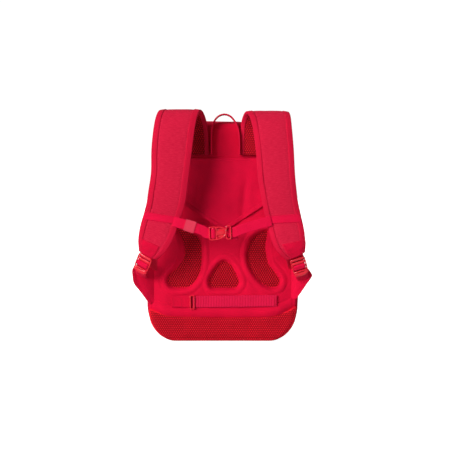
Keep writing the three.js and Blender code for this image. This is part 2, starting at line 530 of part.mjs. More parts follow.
// ---------------------------------------------------------------- haul loop, sewn in the yoke seam
{
  const LOOP_PATH = [ // x, y, z
    [-24.5, -104, 381], [-24.5, -104, 410], [-22.5, -103.5, 432], [-17.5, -102, 447], [-9, -100, 458], [3.5, -99, 462.5],
    [16, -100, 458.5], [25, -102, 447], [30, -103.5, 432], [31.5, -104, 410], [31.5, -104, 381],
  ];
  add('haul_loop', ribbon(LOOP_PATH.map(([x, y, z]) => ({ p: V(x, y, z), w: V(0, 1, 0) })), 20, 4), RED.cloth, 0.7);
}

// ---------------------------------------------------------------- horizontal webbing low on the back panel
{
  const Y = -102.4, W = V(0, 0, 1), SX = -62, Z = 80.5;
  const st = (x, y, z = Z) => ({ p: V(x, y, z), w: W });
  const slider = frameOf(V(SX, Y - 0.6, Z - 1), V(1, 0, 0), V(0, 0, 1), V(0, -1, 0));
  add('lower_web_slider', flatPart(rect(-5, 5, -14.6, 14.6), [rect(-2.6, 2.6, -12.4, 12.4)], 3, slider), RED.plastic, 0.4);
  add('lower_web_tab', ribbon([st(-104, Y + 1.6), st(-70, Y + 2.2), st(-63.4, Y + 2.4)], LOW_WEB_W, LOW_WEB_T), RED.web, 0.65);
  add('lower_web', ribbon([st(-60.8, Y + 2.4), st(-52, Y + 1.8), st(20, Y + 1.4, Z + 0.6), st(111, Y + 1.6, Z + 2)], LOW_WEB_W, LOW_WEB_T), RED.web, 0.65);
}

// ---------------------------------------------------------------- origin: middle of the box, on the ground
const box = new THREE.Box3().setFromObject(group);
const root = new THREE.Group();
group.position.set(-(box.min.x + box.max.x) / 2, -(box.min.y + box.max.y) / 2, -box.min.z);
root.add(group);
root.updateMatrixWorld(true);
export default root;
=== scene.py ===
import math

import bmesh
import bpy
import numpy as np
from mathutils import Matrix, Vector


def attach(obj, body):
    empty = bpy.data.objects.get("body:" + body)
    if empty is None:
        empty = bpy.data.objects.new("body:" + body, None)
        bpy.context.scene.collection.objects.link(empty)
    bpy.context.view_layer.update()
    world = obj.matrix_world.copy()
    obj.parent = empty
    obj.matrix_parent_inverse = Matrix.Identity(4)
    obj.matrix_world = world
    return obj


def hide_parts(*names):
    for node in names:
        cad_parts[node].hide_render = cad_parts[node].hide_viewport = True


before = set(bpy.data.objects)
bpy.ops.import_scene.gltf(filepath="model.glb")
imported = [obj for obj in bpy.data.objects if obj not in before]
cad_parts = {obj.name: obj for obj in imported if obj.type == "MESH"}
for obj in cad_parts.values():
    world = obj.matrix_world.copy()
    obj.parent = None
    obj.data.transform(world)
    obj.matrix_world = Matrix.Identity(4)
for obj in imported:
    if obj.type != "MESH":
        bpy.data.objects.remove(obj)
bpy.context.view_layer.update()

# Everything below is worked out in millimetres, x to the right, z up and -y towards the wearer,
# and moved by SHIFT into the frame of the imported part, in metres.
SHIFT = np.array([0.3405304, 47.3499603, 2.5])


# ---------------------------------------------------------------- sizes
BODY_H, BODY_HW, GAP, SEAM_Y, FRONT_Y = 450.0, 154.0, 0.3, -84.0, 45.0
PANEL_BASE, PAD_RISE, PANEL_TOP = 7.5, 5.5, 445.0
BACK_Y = SEAM_Y - GAP
ZIP_Y0, ZIP_Y1 = 18.0, 26.0
STRAP_EDGE, STRAP_CORE = 2.6, 6.2

OUTLINE = np.array([  # z, half width
    [0, 101], [7, 122], [15, 133], [24, 141], [33, 146.5], [43, 150.5], [60, 153], [80, 154],
    [130, 154], [190, 153], [250, 150], [300, 146], [340, 142], [380, 137], [400, 133],
    [418, 126], [432, 116], [442, 102], [447.5, 88], [450, 74]], float)
STATIONS = np.array([  # y, add to half width, top, bottom
    [-84, -1.5, 446, -1.5], [-74, 0, 449.5, -2.5], [-42, 1.5, 450, -2.5], [-8, 2, 449, -2.5],
    [18, 1.5, 446, -2.5], [26, 1, 444.5, -2.5], [45, -1, 438, -2.5]], float)
DOME = np.array([  # y, scale of the outline
    [45.3, 1], [54, 0.992], [63, 0.968], [70, 0.92], [75, 0.84], [79, 0.7], [82, 0.5], [84, 0.25]], float)
BORDER = np.array([  # x, z of the seam between back panel and lumbar pad
    [-151, 67], [-130, 59], [-108, 52.5], [-60, 50], [0, 49], [60, 49.5], [97, 51], [128, 60], [151, 73]], float)
KIDNEY_LEFT = np.array([
    [-96, 233], [-70, 226], [-45, 211], [-39, 179], [-43, 140], [-57, 116], [-74, 106], [-104, 107],
    [-115, 120], [-112, 136], [-94, 152], [-82, 170], [-80, 189], [-86, 209]], float)
KIDNEY_RIGHT = np.array([
    [95, 226], [90, 193], [90, 179], [96, 160], [112, 140], [121, 124], [116, 110], [100, 106],
    [83, 112], [65, 130], [53, 150], [48, 173], [51, 193], [59, 211], [74, 223]], float)
CENTER_RECESS = np.array([
    [-30, 120], [-26, 134], [-11, 157], [4, 166], [19, 158], [31, 138], [37, 120], [28, 106], [4, 104.5], [-22, 106]], float)
STRAP_LEFT = np.array([  # x, y, z, width, tilt
    [-66, -100, 380, 74, 0], [-67, -101, 412, 75, 0], [-71, -107, 440, 76, 0], [-77, -121, 458, 76, 0],
    [-84, -140, 464, 76, 0], [-90, -157, 455, 77, 0], [-95, -167, 432, 78, 0], [-100, -172, 388, 77, 2],
    [-103.5, -172, 341, 72, 5], [-109, -169, 301, 73, 8], [-114, -165, 277, 71, 9], [-121, -161, 254, 69, 12],
    [-128, -162, 232, 68, 16], [-135, -161.5, 212, 63, 20], [-142.6, -158, 194, 52, 24], [-150, -152, 180, 35, 26]], float)
STRAP_RIGHT = np.array([
    [73, -100, 380, 73, 0], [74, -101, 412, 74, 0], [77, -107, 440, 76, 0], [83, -121, 456, 78, 0],
    [90, -140, 461, 78, 0], [95, -157, 453, 77, 0], [98.5, -167, 432, 74, 0], [103, -172, 388, 72, 1],
    [106, -172, 341, 71, 3], [110, -169, 311, 69, 5], [115, -165, 281, 67, 6], [121, -161, 256, 66, 7],
    [126.5, -162, 232, 66, 9], [132, -161.5, 211, 63, 11], [139.8, -158, 193.5, 53, 12], [147.2, -151.5, 178.5, 35, 13]], float)
TAB = {  # z, outer x, outer y
    "left": np.array([[77, 151, -95.5], [90, 160, -98], [104, 170, -102], [119, 180.5, -107], [134, 183, -111], [148, 183, -114], [156, 176, -112], [164, 158, -105]], float),
    "right": np.array([[86, 151, -95.5], [100, 161, -98], [117, 172, -102], [133, 182, -108], [140, 180.5, -110], [150, 173, -112], [158, 161, -108], [163, 152, -102]], float),
}
BUCKLE = dict(x=-5.2, y=-170.0, z=224.0, tilt=3.0, half=21.5, t=3.6, w=27.0, housing=8.0)
LOCKS = {
    "left": dict(o=[-153.0, -147.5, 177.0], down=[-15, 18, -35], across=[0.80, -0.16, -0.54]),
    "right": dict(o=[149.0, -146.5, 172.6], down=[12, 17, -38], across=[0.96, 0.04, 0.25]),
}


# ---------------------------------------------------------------- small helpers
def sm(a, b, t):
    k = np.clip((np.asarray(t, float) - a) / (b - a), 0, 1)
    return k * k * (3 - 2 * k)


def unit(v):
    v = np.asarray(v, float)
    return v / np.maximum(np.linalg.norm(v, axis=-1, keepdims=True), 1e-12)


def row(table, s, closed=False):
    """Rows of a table at running row numbers s, smooth through the rows."""
    s = np.atleast_1d(np.asarray(s, float))
    n = len(table)
    if closed:
        i = np.floor(s).astype(int)
        t = (s - i)[:, None]
        p = lambda k: table[np.mod(k, n)]
    else:
        i = np.clip(np.floor(s).astype(int), 0, n - 2)
        t = (s - i)[:, None]
        p = lambda k: table[np.clip(k, 0, n - 1)]
    a, b, d, e = p(i - 1), p(i), p(i + 1), p(i + 2)
    return b + 0.5 * t * (d - a + t * (2 * a - 5 * b + 4 * d - e + t * (3 * (b - d) + e - a)))


def ripple(P, length, seed, n=12):
    """A smooth repeatable wobble of about -1 to 1, with waves about as long as length."""
    g = np.random.default_rng(seed)
    k = unit(g.normal(size=(n, P.shape[-1]))) * (2 * math.pi / (length * g.uniform(0.7, 1.6, (n, 1))))
    return np.sin(P @ k.T + g.uniform(0, 2 * math.pi, n)).sum(-1) / math.sqrt(n)


_H = row(OUTLINE, np.linspace(0, len(OUTLINE) - 1, 900))
_H = _H[np.argsort(_H[:, 0])]
_ST = row(STATIONS, np.linspace(0, len(STATIONS) - 1, 400))
_BD = row(BORDER, np.linspace(0, len(BORDER) - 1, 400))


def half(z):
    return np.interp(z, _H[:, 0], _H[:, 1])


def border(x):
    return np.interp(x, _BD[:, 0], _BD[:, 1])


def panel_half(z):
    return half(np.clip((np.asarray(z) + 1.5) * BODY_H / 447.5, 0, BODY_H)) * (1 - 1.5 / BODY_HW) - 0.8


# ---------------------------------------------------------------- meshes
def build(name, V, faces, material, uv=None, depth=None, smooth=True, materials=(), face_mats=None):
    """A mesh object from points in millimetres. uv is one pair for each point, in metres, or for each face corner."""
    me = bpy.data.meshes.new(name)
    V = (np.asarray(V, float) + SHIFT) * 0.001
    me.from_pydata(V.tolist(), [], [list(map(int, f)) for f in faces])
    if uv is not None:
        uv = np.asarray(uv, float)
        layer = me.uv_layers.new(name="UVMap")
        if len(uv) == len(V) and len(uv) != len(me.loops):
            idx = np.zeros(len(me.loops), np.int32)
            me.loops.foreach_get("vertex_index", idx)
            uv = uv[idx]
        layer.data.foreach_set("uv", uv.astype(np.float32).ravel())
    if depth is not None:
        a = me.attributes.new("depth", "FLOAT", "POINT")
        a.data.foreach_set("value", np.asarray(depth, np.float32).ravel())
    me.materials.append(material)
    for m in materials:
        me.materials.append(m)
    if face_mats is not None:
        me.polygons.foreach_set("material_index", np.asarray(face_mats, np.int32))
    me.polygons.foreach_set("use_smooth", np.full(len(me.polygons), smooth))
    me.validate()
    me.update()
    ob = bpy.data.objects.new(name, me)
    bpy.context.scene.collection.objects.link(ob)
    return ob


def outward(V, faces):
    """Faces turned so that the closed mesh they make has a positive volume."""
    V = np.asarray(V, float)
    vol = 0.0
    for f in faces:
        for k in range(1, len(f) - 1):
            vol += np.dot(V[f[0]], np.cross(V[f[k]], V[f[k + 1]]))
    return faces if vol > 0 else [tuple(reversed(f)) for f in faces]


def quad_volume(V, F):
    a, b, c, d = (V[F[:, k]] for k in range(4))
    return float((np.einsum("ij,ij->i", a, np.cross(b, c)) + np.einsum("ij,ij->i", a, np.cross(c, d))).sum())


def slab(name, face, back, uv, material, depth=None, **kw):
    """A closed sheet between two grids of points with the same rows and columns."""
    r, c = face.shape[:2]
    ids = np.arange(r * c).reshape(r, c)
    V = np.concatenate([face.reshape(-1, 3), back.reshape(-1, 3)])
    q = np.stack([ids[:-1, :-1], ids[:-1, 1:], ids[1:, 1:], ids[1:, :-1]], -1).reshape(-1, 4)
    rim = np.concatenate([ids[0, :-1], ids[:-1, -1], ids[-1, :0:-1], ids[:0:-1, 0]])
    nxt = np.roll(rim, -1)
    sides = np.stack([nxt, rim, rim + r * c, nxt + r * c], -1)
    F = np.concatenate([q, q[:, ::-1] + r * c, sides])
    if quad_volume(V, F) < 0:
        F = F[:, ::-1]
    UV = np.concatenate([uv.reshape(-1, 2)] * 2)
    D = None if depth is None else np.concatenate([depth.ravel(), np.zeros(r * c)])
    return build(name, V, F, material, UV, D, **kw)


def tube(name, rings, material, vlen=None, closed=False, depth=None, uscale=None, **kw):
    """Closed rings (n, m, 3) joined one after the other. closed joins the last to the first, or else both ends are capped."""
    n, m = rings.shape[:2]
    ids = np.arange(n * m).reshape(n, m)
    nj = np.roll(ids, -1, 1)
    if closed:
        ni, nij = np.roll(ids, -1, 0), np.roll(nj, -1, 0)
        q = np.stack([ids, nj, nij, ni], -1).reshape(-1, 4)
    else:
        q = np.stack([ids[:-1], nj[:-1], nj[1:], ids[1:]], -1).reshape(-1, 4)
    V = rings.reshape(-1, 3)
    # lengths along and around, for the weave
    step = np.linalg.norm(np.diff(rings.mean(1), axis=0, append=rings[:1].mean(1)), axis=1)
    along = np.concatenate([[0], np.cumsum(step)])
    around = np.linalg.norm(np.roll(rings, -1, 1) - rings, axis=-1).mean(0)
    around = np.concatenate([[0], np.cumsum(around)])
    rows = n if closed else n - 1
    A = np.repeat(np.arange(rows), m)
    B = np.tile(np.arange(m), rows)
    cu = np.stack([around[B], around[B + 1], around[B + 1], around[B]], -1)
    cv = np.stack([along[A], along[A], along[A + 1], along[A + 1]], -1)
    UV = np.stack([cu, cv], -1).reshape(-1, 2) * 0.001
    faces = q
    if not closed:
        V = np.concatenate([V, rings[0].mean(0)[None], rings[-1].mean(0)[None]])
        k0, k1 = n * m, n * m + 1
        cap0 = [(nj[0, j], ids[0, j], k0) for j in range(m)]
        cap1 = [(ids[-1, j], nj[-1, j], k1) for j in range(m)]
        faces = [tuple(f) for f in q] + cap0 + cap1
        UV = np.concatenate([UV, np.zeros((6 * m, 2))])
        if depth is not None:
            depth = np.concatenate([np.ravel(depth), [0, 0]])
    vol = quad_volume(V, q)
    if vol < 0:
        faces = [tuple(f)[::-1] for f in faces]
        if isinstance(q, np.ndarray):
            lens = [len(f) for f in faces]
            out, at = [], 0
            for L in lens:
                out.append(UV[at:at + L][::-1])
                at += L
            UV = np.concatenate(out)
    return build(name, V, faces, material, UV, depth, **kw)


def pipe(name, P, radius, material, closed=False, sides=8, **kw):
    """A round cord of cloth along points P."""
    P = np.asarray(P, float)
    if closed:
        d = unit(np.roll(P, -1, 0) - np.roll(P, 1, 0))
    else:
        d = unit(np.gradient(P, axis=0))
    ref = np.tile([0.0, 1.0, 0.0], (len(P), 1))
    ref[np.abs(d[:, 1]) > 0.9] = [1, 0, 0]
    a = unit(np.cross(d, ref))
    b = np.cross(d, a)
    t = np.linspace(0, 2 * math.pi, sides, endpoint=False)
    rings = P[:, None] + radius * (np.cos(t)[None, :, None] * a[:, None] + np.sin(t)[None, :, None] * b[:, None])
    return tube(name, rings, material, closed=closed, **kw)


def resample(P, step, closed=False):
    P = np.asarray(P, float)
    if closed:
        P = np.concatenate([P, P[:1]])
    L = np.concatenate([[0], np.cumsum(np.linalg.norm(np.diff(P, axis=0), axis=1))])
    n = max(3, int(round(L[-1] / step)))
    t = np.linspace(0, L[-1], n + 1)
    if closed:
        t = t[:-1]
    return np.stack([np.interp(t, L, P[:, k]) for k in range(P.shape[1])], -1)


STITCHES = {}


def sew(group, P, N, pitch=3.6, length=2.5, width=0.62, lift=0.1):
    """Stitches lying along points P on a face with normals N, kept to be joined into one piece for each group."""
    P, N = np.asarray(P, float), np.asarray(N, float)
    L = np.concatenate([[0], np.cumsum(np.linalg.norm(np.diff(P, axis=0), axis=1))])
    if L[-1] < pitch:
        return
    t = np.arange(pitch / 2, L[-1], pitch)
    at = lambda q, A: np.stack([np.interp(q, L, A[:, k]) for k in range(3)], -1)
    c, n = at(t, P), unit(at(t, N))
    d = unit(at(np.minimum(t + 0.6, L[-1]), P) - at(np.maximum(t - 0.6, 0), P))
    n = unit(n - (n * d).sum(-1, keepdims=True) * d)
    b = np.cross(d, n)
    h = length / 2
    V = []
    for u, w in ((-h, 0.25), (-h * 0.62, 1.0), (h * 0.62, 1.0), (h, 0.25)):
        for sb, sn in ((1, 0), (0, 1), (-1, 0), (0, -1)):
            drop = -0.28 if abs(u) == h else lift
            V.append(c + u * d + sb * w * width / 2 * b + (sn * w * width * 0.42 + drop) * n)
    V = np.stack(V, 1)  # (k, 16, 3)
    F = []
    for r in range(3):
        for j in range(4):
            a, b2 = r * 4 + j, r * 4 + (j + 1) % 4
            F.append([a, b2, b2 + 4, a + 4])
    F.append([3, 2, 1, 0])
    F.append([12, 13, 14, 15])
    F = np.array(F)
    STITCHES.setdefault(group, []).append((V, F))


def knot_stitches(name, group, material):
    VV, FF, base = [], [], 0
    for V, F in STITCHES.get(group, []):
        k = len(V)
        VV.append(V.reshape(-1, 3))
        FF.append((F[None] + (np.arange(k) * 16)[:, None, None] + base).reshape(-1, 4))
        base += k * 16
    V, F = np.concatenate(VV), np.concatenate(FF)
    if quad_volume(V - V.mean(0), F) < 0:
        F = F[:, ::-1]
    return build(name, V, F, material, uv=np.zeros((len(V), 2)))


def finish_piece(ob, slot_name, *nodes, padded=None):
    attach(ob, "root")
    if nodes:
        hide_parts(*nodes)
    return ob


# ---------------------------------------------------------------- materials
def material(name):
    m = bpy.data.materials.new(name)
    m.use_nodes = True
    nt = m.node_tree
    nt.nodes.clear()
    out = nt.nodes.new("ShaderNodeOutputMaterial")
    sh = nt.nodes.new("ShaderNodeBsdfPrincipled")
    nt.links.new(sh.outputs["BSDF"], out.inputs["Surface"])
    return m, nt, sh


def node(nt, kind, values=None, **props):
    n = nt.nodes.new(kind)
    for k, v in props.items():
        setattr(n, k, v)
    for k, v in (values or {}).items():
        n.inputs[k].default_value = v
    return n


def ramp(nt, source, stops):
    r = nt.nodes.new("ShaderNodeValToRGB")
    e = r.color_ramp.elements
    while len(e) < len(stops):
        e.new(0.5)
    for i, (pos, col) in enumerate(stops):
        e[i].position = pos
        e[i].color = (*col, 1) if len(col) == 3 else col
    nt.links.new(source, r.inputs["Fac"])
    return r


def shade(rgb, k, wash=0.0):
    return tuple(min(1.0, c * k + wash) for c in rgb)


def weave_height(nt, coord, du, dv, diagonal=0.0):
    """Height of a woven face: two crossing sets of threads, du and dv to the metre."""
    mp = node(nt, "ShaderNodeMapping", {"Rotation": (0, 0, diagonal)})
    nt.links.new(coord, mp.inputs["Vector"])
    a = node(nt, "ShaderNodeTexWave", {"Scale": du / 6.2832 * 1.0, "Distortion": 0.0}, wave_type="BANDS", bands_direction="X", wave_profile="SIN")
    b = node(nt, "ShaderNodeTexWave", {"Scale": dv / 6.2832 * 1.0, "Distortion": 0.0}, wave_type="BANDS", bands_direction="Y", wave_profile="SIN")
    nt.links.new(mp.outputs[0], a.inputs["Vector"])
    nt.links.new(mp.outputs[0], b.inputs["Vector"])
    mx = node(nt, "ShaderNodeMath", operation="MULTIPLY")
    nt.links.new(a.outputs["Fac"], mx.inputs[0])
    nt.links.new(b.outputs["Fac"], mx.inputs[1])
    return mx.outputs[0]


def cloth(name, rgb, light=1.12, dark=0.84, rough=0.85, sheen=0.25, tint=(1.0, 0.10, 0.22), spec=0.08,
          threads=(1500, 1500), weave=0.00010, diagonal=0.0, cloud=22.0, streaks=None, pit_shade=None, coat=0.0):
    m, nt, sh = material(name)
    uv = node(nt, "ShaderNodeUVMap", uv_map="UVMap")
    obj = node(nt, "ShaderNodeTexCoord")
    # broad, soft changes of shade, as dyed cloth has
    big = node(nt, "ShaderNodeTexNoise", {"Scale": cloud, "Detail": 3.0, "Roughness": 0.55})
    nt.links.new(obj.outputs["Object"], big.inputs["Vector"])
    fine = node(nt, "ShaderNodeTexNoise", {"Scale": 620.0, "Detail": 2.0, "Roughness": 0.6})
    nt.links.new(obj.outputs["Object"], fine.inputs["Vector"])
    mixf = node(nt, "ShaderNodeMath", {1: 0.35}, operation="MULTIPLY")
    nt.links.new(fine.outputs["Fac"], mixf.inputs[0])
    addf = node(nt, "ShaderNodeMath", operation="ADD")
    nt.links.new(big.outputs["Fac"], addf.inputs[0])
    nt.links.new(mixf.outputs[0], addf.inputs[1])
    base = ramp(nt, addf.outputs[0], [(0.38, shade(rgb, dark)), (0.95, shade(rgb, light))])
    colour = base.outputs["Color"]
    if streaks:
        # short flecks of lighter and darker yarn that lie along the weft
        mp = node(nt, "ShaderNodeMapping", {"Scale": streaks["scale"]})
        nt.links.new(uv.outputs[0], mp.inputs["Vector"])
        st = node(nt, "ShaderNodeTexNoise", {"Scale": 1.0, "Detail": 3.0, "Roughness": 0.7})
        nt.links.new(mp.outputs[0], st.inputs["Vector"])
        sr = ramp(nt, st.outputs["Fac"], [(0.36, streaks["dark"]), (0.5, rgb), (0.66, streaks["light"])])
        mix = node(nt, "ShaderNodeMix", {0: streaks["share"]}, data_type="RGBA", blend_type="MIX")
        nt.links.new(colour, mix.inputs[6])
        nt.links.new(sr.outputs["Color"], mix.inputs[7])
        colour = mix.outputs[2]
    # painted shade: where the depth attribute marks the holes of a netting or the grooves between ribs, the colour is
    # mixed towards a dark colour for the shade that falls into them
    if pit_shade:
        at = node(nt, "ShaderNodeAttribute", attribute_name="depth", attribute_type="GEOMETRY")
        mix = node(nt, "ShaderNodeMix", {7: (*pit_shade, 1)}, data_type="RGBA", blend_type="MIX")
        nt.links.new(at.outputs["Fac"], mix.inputs[0])
        nt.links.new(colour, mix.inputs[6])
        colour = mix.outputs[2]
    nt.links.new(colour, sh.inputs["Base Color"])
    sh.inputs["Roughness"].default_value = rough
    sh.inputs["Specular IOR Level"].default_value = spec
    sh.inputs["Sheen Weight"].default_value = sheen
    sh.inputs["Sheen Roughness"].default_value = 0.45
    sh.inputs["Sheen Tint"].default_value = (*tint, 1)
    sh.inputs["Coat Weight"].default_value = coat
    h = weave_height(nt, uv.outputs[0], threads[0] * 6.2832, threads[1] * 6.2832, diagonal)
    fz = node(nt, "ShaderNodeMath", {1: 0.6}, operation="MULTIPLY")
    nt.links.new(fine.outputs["Fac"], fz.inputs[0])
    hs = node(nt, "ShaderNodeMath", operation="ADD")
    nt.links.new(h, hs.inputs[0])
    nt.links.new(fz.outputs[0], hs.inputs[1])
    bump = node(nt, "ShaderNodeBump", {"Strength": 0.55, "Distance": weave})
    nt.links.new(hs.outputs[0], bump.inputs["Height"])
    nt.links.new(bump.outputs["Normal"], sh.inputs["Normal"])
    return m


def plastic(name, rgb, rough=0.28):
    m, nt, sh = material(name)
    obj = node(nt, "ShaderNodeTexCoord")
    n1 = node(nt, "ShaderNodeTexNoise", {"Scale": 90.0, "Detail": 2.0})
    nt.links.new(obj.outputs["Object"], n1.inputs["Vector"])
    c = ramp(nt, n1.outputs["Fac"], [(0.3, shade(rgb, 0.93)), (0.75, shade(rgb, 1.05))])
    nt.links.new(c.outputs["Color"], sh.inputs["Base Color"])
    n2 = node(nt, "ShaderNodeTexNoise", {"Scale": 900.0, "Detail": 2.0})
    nt.links.new(obj.outputs["Object"], n2.inputs["Vector"])
    r = node(nt, "ShaderNodeMapRange", {"To Min": rough * 0.8, "To Max": rough * 1.25})
    nt.links.new(n2.outputs["Fac"], r.inputs["Value"])
    nt.links.new(r.outputs[0], sh.inputs["Roughness"])
    sh.inputs["Specular IOR Level"].default_value = 0.5
    bump = node(nt, "ShaderNodeBump", {"Strength": 0.25, "Distance": 0.00004})
    nt.links.new(n2.outputs["Fac"], bump.inputs["Height"])
    nt.links.new(bump.outputs["Normal"], sh.inputs["Normal"])
    return m


RED = (0.57, 0.0014, 0.030)
M = {
    "cloth": cloth("cloth_smooth", RED, threads=(1700, 1700), sheen=0.08),
    "panel": cloth("cloth_back_panel", (0.57, 0.0014, 0.028), threads=(1300, 1300), sheen=0.06),
    "texture": cloth("cloth_melange", (0.525, 0.0086, 0.038), threads=(900, 900), weave=0.00022, light=1.05, dark=0.90, spec=0.05, sheen=0.12,
                     streaks=dict(scale=(120, 640, 1), dark=(0.47, 0.005, 0.032), light=(0.61, 0.018, 0.053), share=0.7)),
    "binding": cloth("binding_tape", (0.52, 0.0040, 0.031), threads=(1900, 1900), sheen=0.10, light=1.05, dark=0.94),
    # netting: threads in the base colour, and the ground between its dots painted nearly black as shade in the holes
    "mesh": cloth("spacer_mesh", (0.72, 0.0085, 0.026), threads=(2400, 2400), weave=0.00006, sheen=0.04, spec=0.05, pit_shade=(0.16, 0.0010, 0.005)),
    "web": cloth("webbing_plain", (0.62, 0.0022, 0.038), threads=(1400, 700), weave=0.0002, sheen=0.10, light=1.05, dark=0.93),
    # ribbed webbing: the grooves between its ribs are painted darker as shade
    "ribbed": cloth("webbing_ribbed", (0.66, 0.0085, 0.060), threads=(1400, 700), weave=0.0002, sheen=0.2, pit_shade=(0.46, 0.002, 0.028), light=1.05, dark=0.93),
    "elastic": cloth("elastic_knit", (0.60, 0.035, 0.072), threads=(1100, 1100), weave=0.0002, sheen=0.25),
    "thread": cloth("sewing_thread", (0.50, 0.004, 0.035), threads=(3000, 3000), weave=0.00005, sheen=0.1, spec=0.15),
    "piping": cloth("piping", (0.42, 0.0018, 0.020), threads=(2000, 2000), sheen=0.1),
    "plastic": plastic("moulded_plastic", (0.64, 0.0075, 0.026), rough=0.22),
}


# ---------------------------------------------------------------- bag shell
LOOP = np.concatenate([
    OUTLINE[:, ::-1], [[37, 450], [0, 450], [-37, 450]],
    (OUTLINE[::-1, ::-1]) * [-1, 1], [[-48, 0], [0, 0], [48, 0]]])
ROUND = 300
_t = np.linspace(0, len(LOOP), 4000, endpoint=False)
_q = row(LOOP, _t, closed=True)
_L = np.concatenate([[0], np.cumsum(np.linalg.norm(np.diff(np.vstack([_q, _q[:1]]), axis=0), axis=1))])
_at = np.linspace(0, _L[-1], ROUND, endpoint=False)
LOOP_T = np.interp(_at, _L[:-1], _t)          # running row of each point round the bag
BASE = row(LOOP, LOOP_T, closed=True)          # x, z of each point
PERIMETER = _L[-1]


def at_station(xz, y):
    wide, top, bottom = (np.interp(y, _ST[:, 0], _ST[:, k]) for k in (1, 2, 3))
    return np.stack([xz[..., 0] * (1 + wide / BODY_HW), bottom + xz[..., 1] * (top - bottom) / BODY_H], -1)


def loop_ring(y, n=None):
    xz = at_station(BASE if n is None else row(LOOP, n, closed=True), y)
    return np.stack([xz[:, 0], np.full(len(xz), y), xz[:, 1]], -1)


def loop_normal(y, t=None):
    e = 0.05
    tt = LOOP_T if t is None else t
    a, b = at_station(row(LOOP, tt - e, closed=True), y), at_station(row(LOOP, tt + e, closed=True), y)
    d = unit(b - a)
    return np.stack([d[:, 1], np.zeros(len(d)), -d[:, 0]], -1)


GUSSET_Y = np.concatenate([np.linspace(SEAM_Y, 14, 25), [ZIP_Y0, (ZIP_Y0 + ZIP_Y1) / 2, ZIP_Y1], np.linspace(30, FRONT_Y, 4)])
_D = row(DOME, np.linspace(0, len(DOME) - 1, 400))
_Dl = np.concatenate([[0], np.cumsum(np.hypot(np.diff(_D[:, 0]), np.diff(_D[:, 1]) * 170))])
DOME_T = np.linspace(0, _Dl[-1], 34)
DOME_YS = np.stack([np.interp(DOME_T, _Dl, _D[:, 0]), np.interp(DOME_T, _Dl, _D[:, 1])], -1)
FRONT_RIM = loop_ring(FRONT_Y)


def dome_ring(y, s):
    return np.stack([FRONT_RIM[:, 0] * s, np.full(ROUND, y), 200 - 14 * (1 - s) + (FRONT_RIM[:, 2] - 200) * s], -1)


def shell_points():
    rings = [loop_ring(y) for y in GUSSET_Y]
    rings += [dome_ring(y, s) for y, s in DOME_YS[1:]]
    rings += [dome_ring(84.4, 0.14), dome_ring(84.6, 0.05)]
    return np.array(rings)


SHELL = shell_points()
NG = len(GUSSET_Y)
zipped = (LOOP_T >= 9) & (LOOP_T <= 33)


def cloth_sim(name, V, faces, pins, pressure, frames=18, shrink=-0.015, cap=7.0, settings=None, soft_pins=None):
    """Points of a cloth filled by pressure, with its seams held. Points and result are in millimetres."""
    me = bpy.data.meshes.new(name)
    me.from_pydata((V * 0.001).tolist(), [], [list(map(int, f)) for f in faces])
    me.update()
    ob = bpy.data.objects.new(name, me)
    bpy.context.scene.collection.objects.link(ob)
    vg = ob.vertex_groups.new(name="held")
    w = np.asarray(pins, float)
    for level in np.unique(np.round(w, 2)):
        if level > 0:
            vg.add([int(i) for i in np.nonzero(np.isclose(np.round(w, 2), level))[0]], float(level), "REPLACE")
    mod = ob.modifiers.new("Cloth", "CLOTH")
    st = mod.settings
    st.quality = 6
    st.mass = 0.25
    st.tension_stiffness = st.compression_stiffness = 18
    st.shear_stiffness = 8
    st.bending_stiffness = 0.6
    st.tension_damping = st.compression_damping = st.shear_damping = 12
    st.air_damping = 3
    st.vertex_group_mass = "held"
    st.pin_stiffness = 1.0
    st.shrink_min = shrink
    st.use_pressure = True
    st.uniform_pressure_force = pressure
    st.effector_weights.gravity = 0
    mod.collision_settings.use_self_collision = False
    mod.collision_settings.use_collision = False
    for k, v in (settings or {}).items():
        setattr(st, k, v)
    mod.point_cache.frame_start, mod.point_cache.frame_end = 1, frames
    scene = bpy.context.scene
    for f in range(1, frames + 1):
        scene.frame_set(f)
    ev = ob.evaluated_get(bpy.context.evaluated_depsgraph_get())
    out = np.zeros(len(ev.data.vertices) * 3, np.float32)
    ev.data.vertices.foreach_get("co", out)
    out = out.reshape(-1, 3).astype(float) * 1000
    scene.frame_set(1)
    bpy.data.objects.remove(ob)
    move = out - V
    size = np.linalg.norm(move, axis=1, keepdims=True)
    return V + move * np.minimum(1, cap / np.maximum(size, 1e-9))


def grid_quads(r, c, wrap=True):
    ids = np.arange(r * c).reshape(r, c)
    if wrap:
        nj = np.roll(ids, -1, 1)
        return np.stack([ids[:-1], ids[1:], nj[1:], nj[:-1]], -1).reshape(-1, 4)
    return np.stack([ids[:-1, :-1], ids[1:, :-1], ids[1:, 1:], ids[:-1, 1:]], -1).reshape(-1, 4)


R = len(SHELL)
start = SHELL.copy()
V0 = start.reshape(-1, 3)
held = np.zeros((R, ROUND))
held[0] = 1                     # seam with the back panel
held[NG - 1] = 1                # seam with the front panel
zi = [i for i, y in enumerate(GUSSET_Y) if ZIP_Y0 - 1 < y < ZIP_Y1 + 1]
for i in zi:
    held[i, zipped] = 1         # both sides of the zip
low = np.abs(SHELL[:, :, 2] + 2.5) < 2.0
held[low] = 1                   # it stands on its flat bottom
centre = [tuple((R - 1) * ROUND + j for j in range(ROUND))]
faces = [tuple(f) for f in grid_quads(R, ROUND)] + centre
out = cloth_sim("shell_filling", V0, faces, held.ravel(), pressure=2.2, cap=8.0)
filled = out.reshape(R, ROUND, 3)
# the sides fill out less than the front
share = np.where(np.arange(R) < NG, 0.45, 1.0)[:, None, None]
SHELL = SHELL + (filled - SHELL) * share
SHELL[:, :, 2] = np.maximum(SHELL[:, :, 2], -2.5)

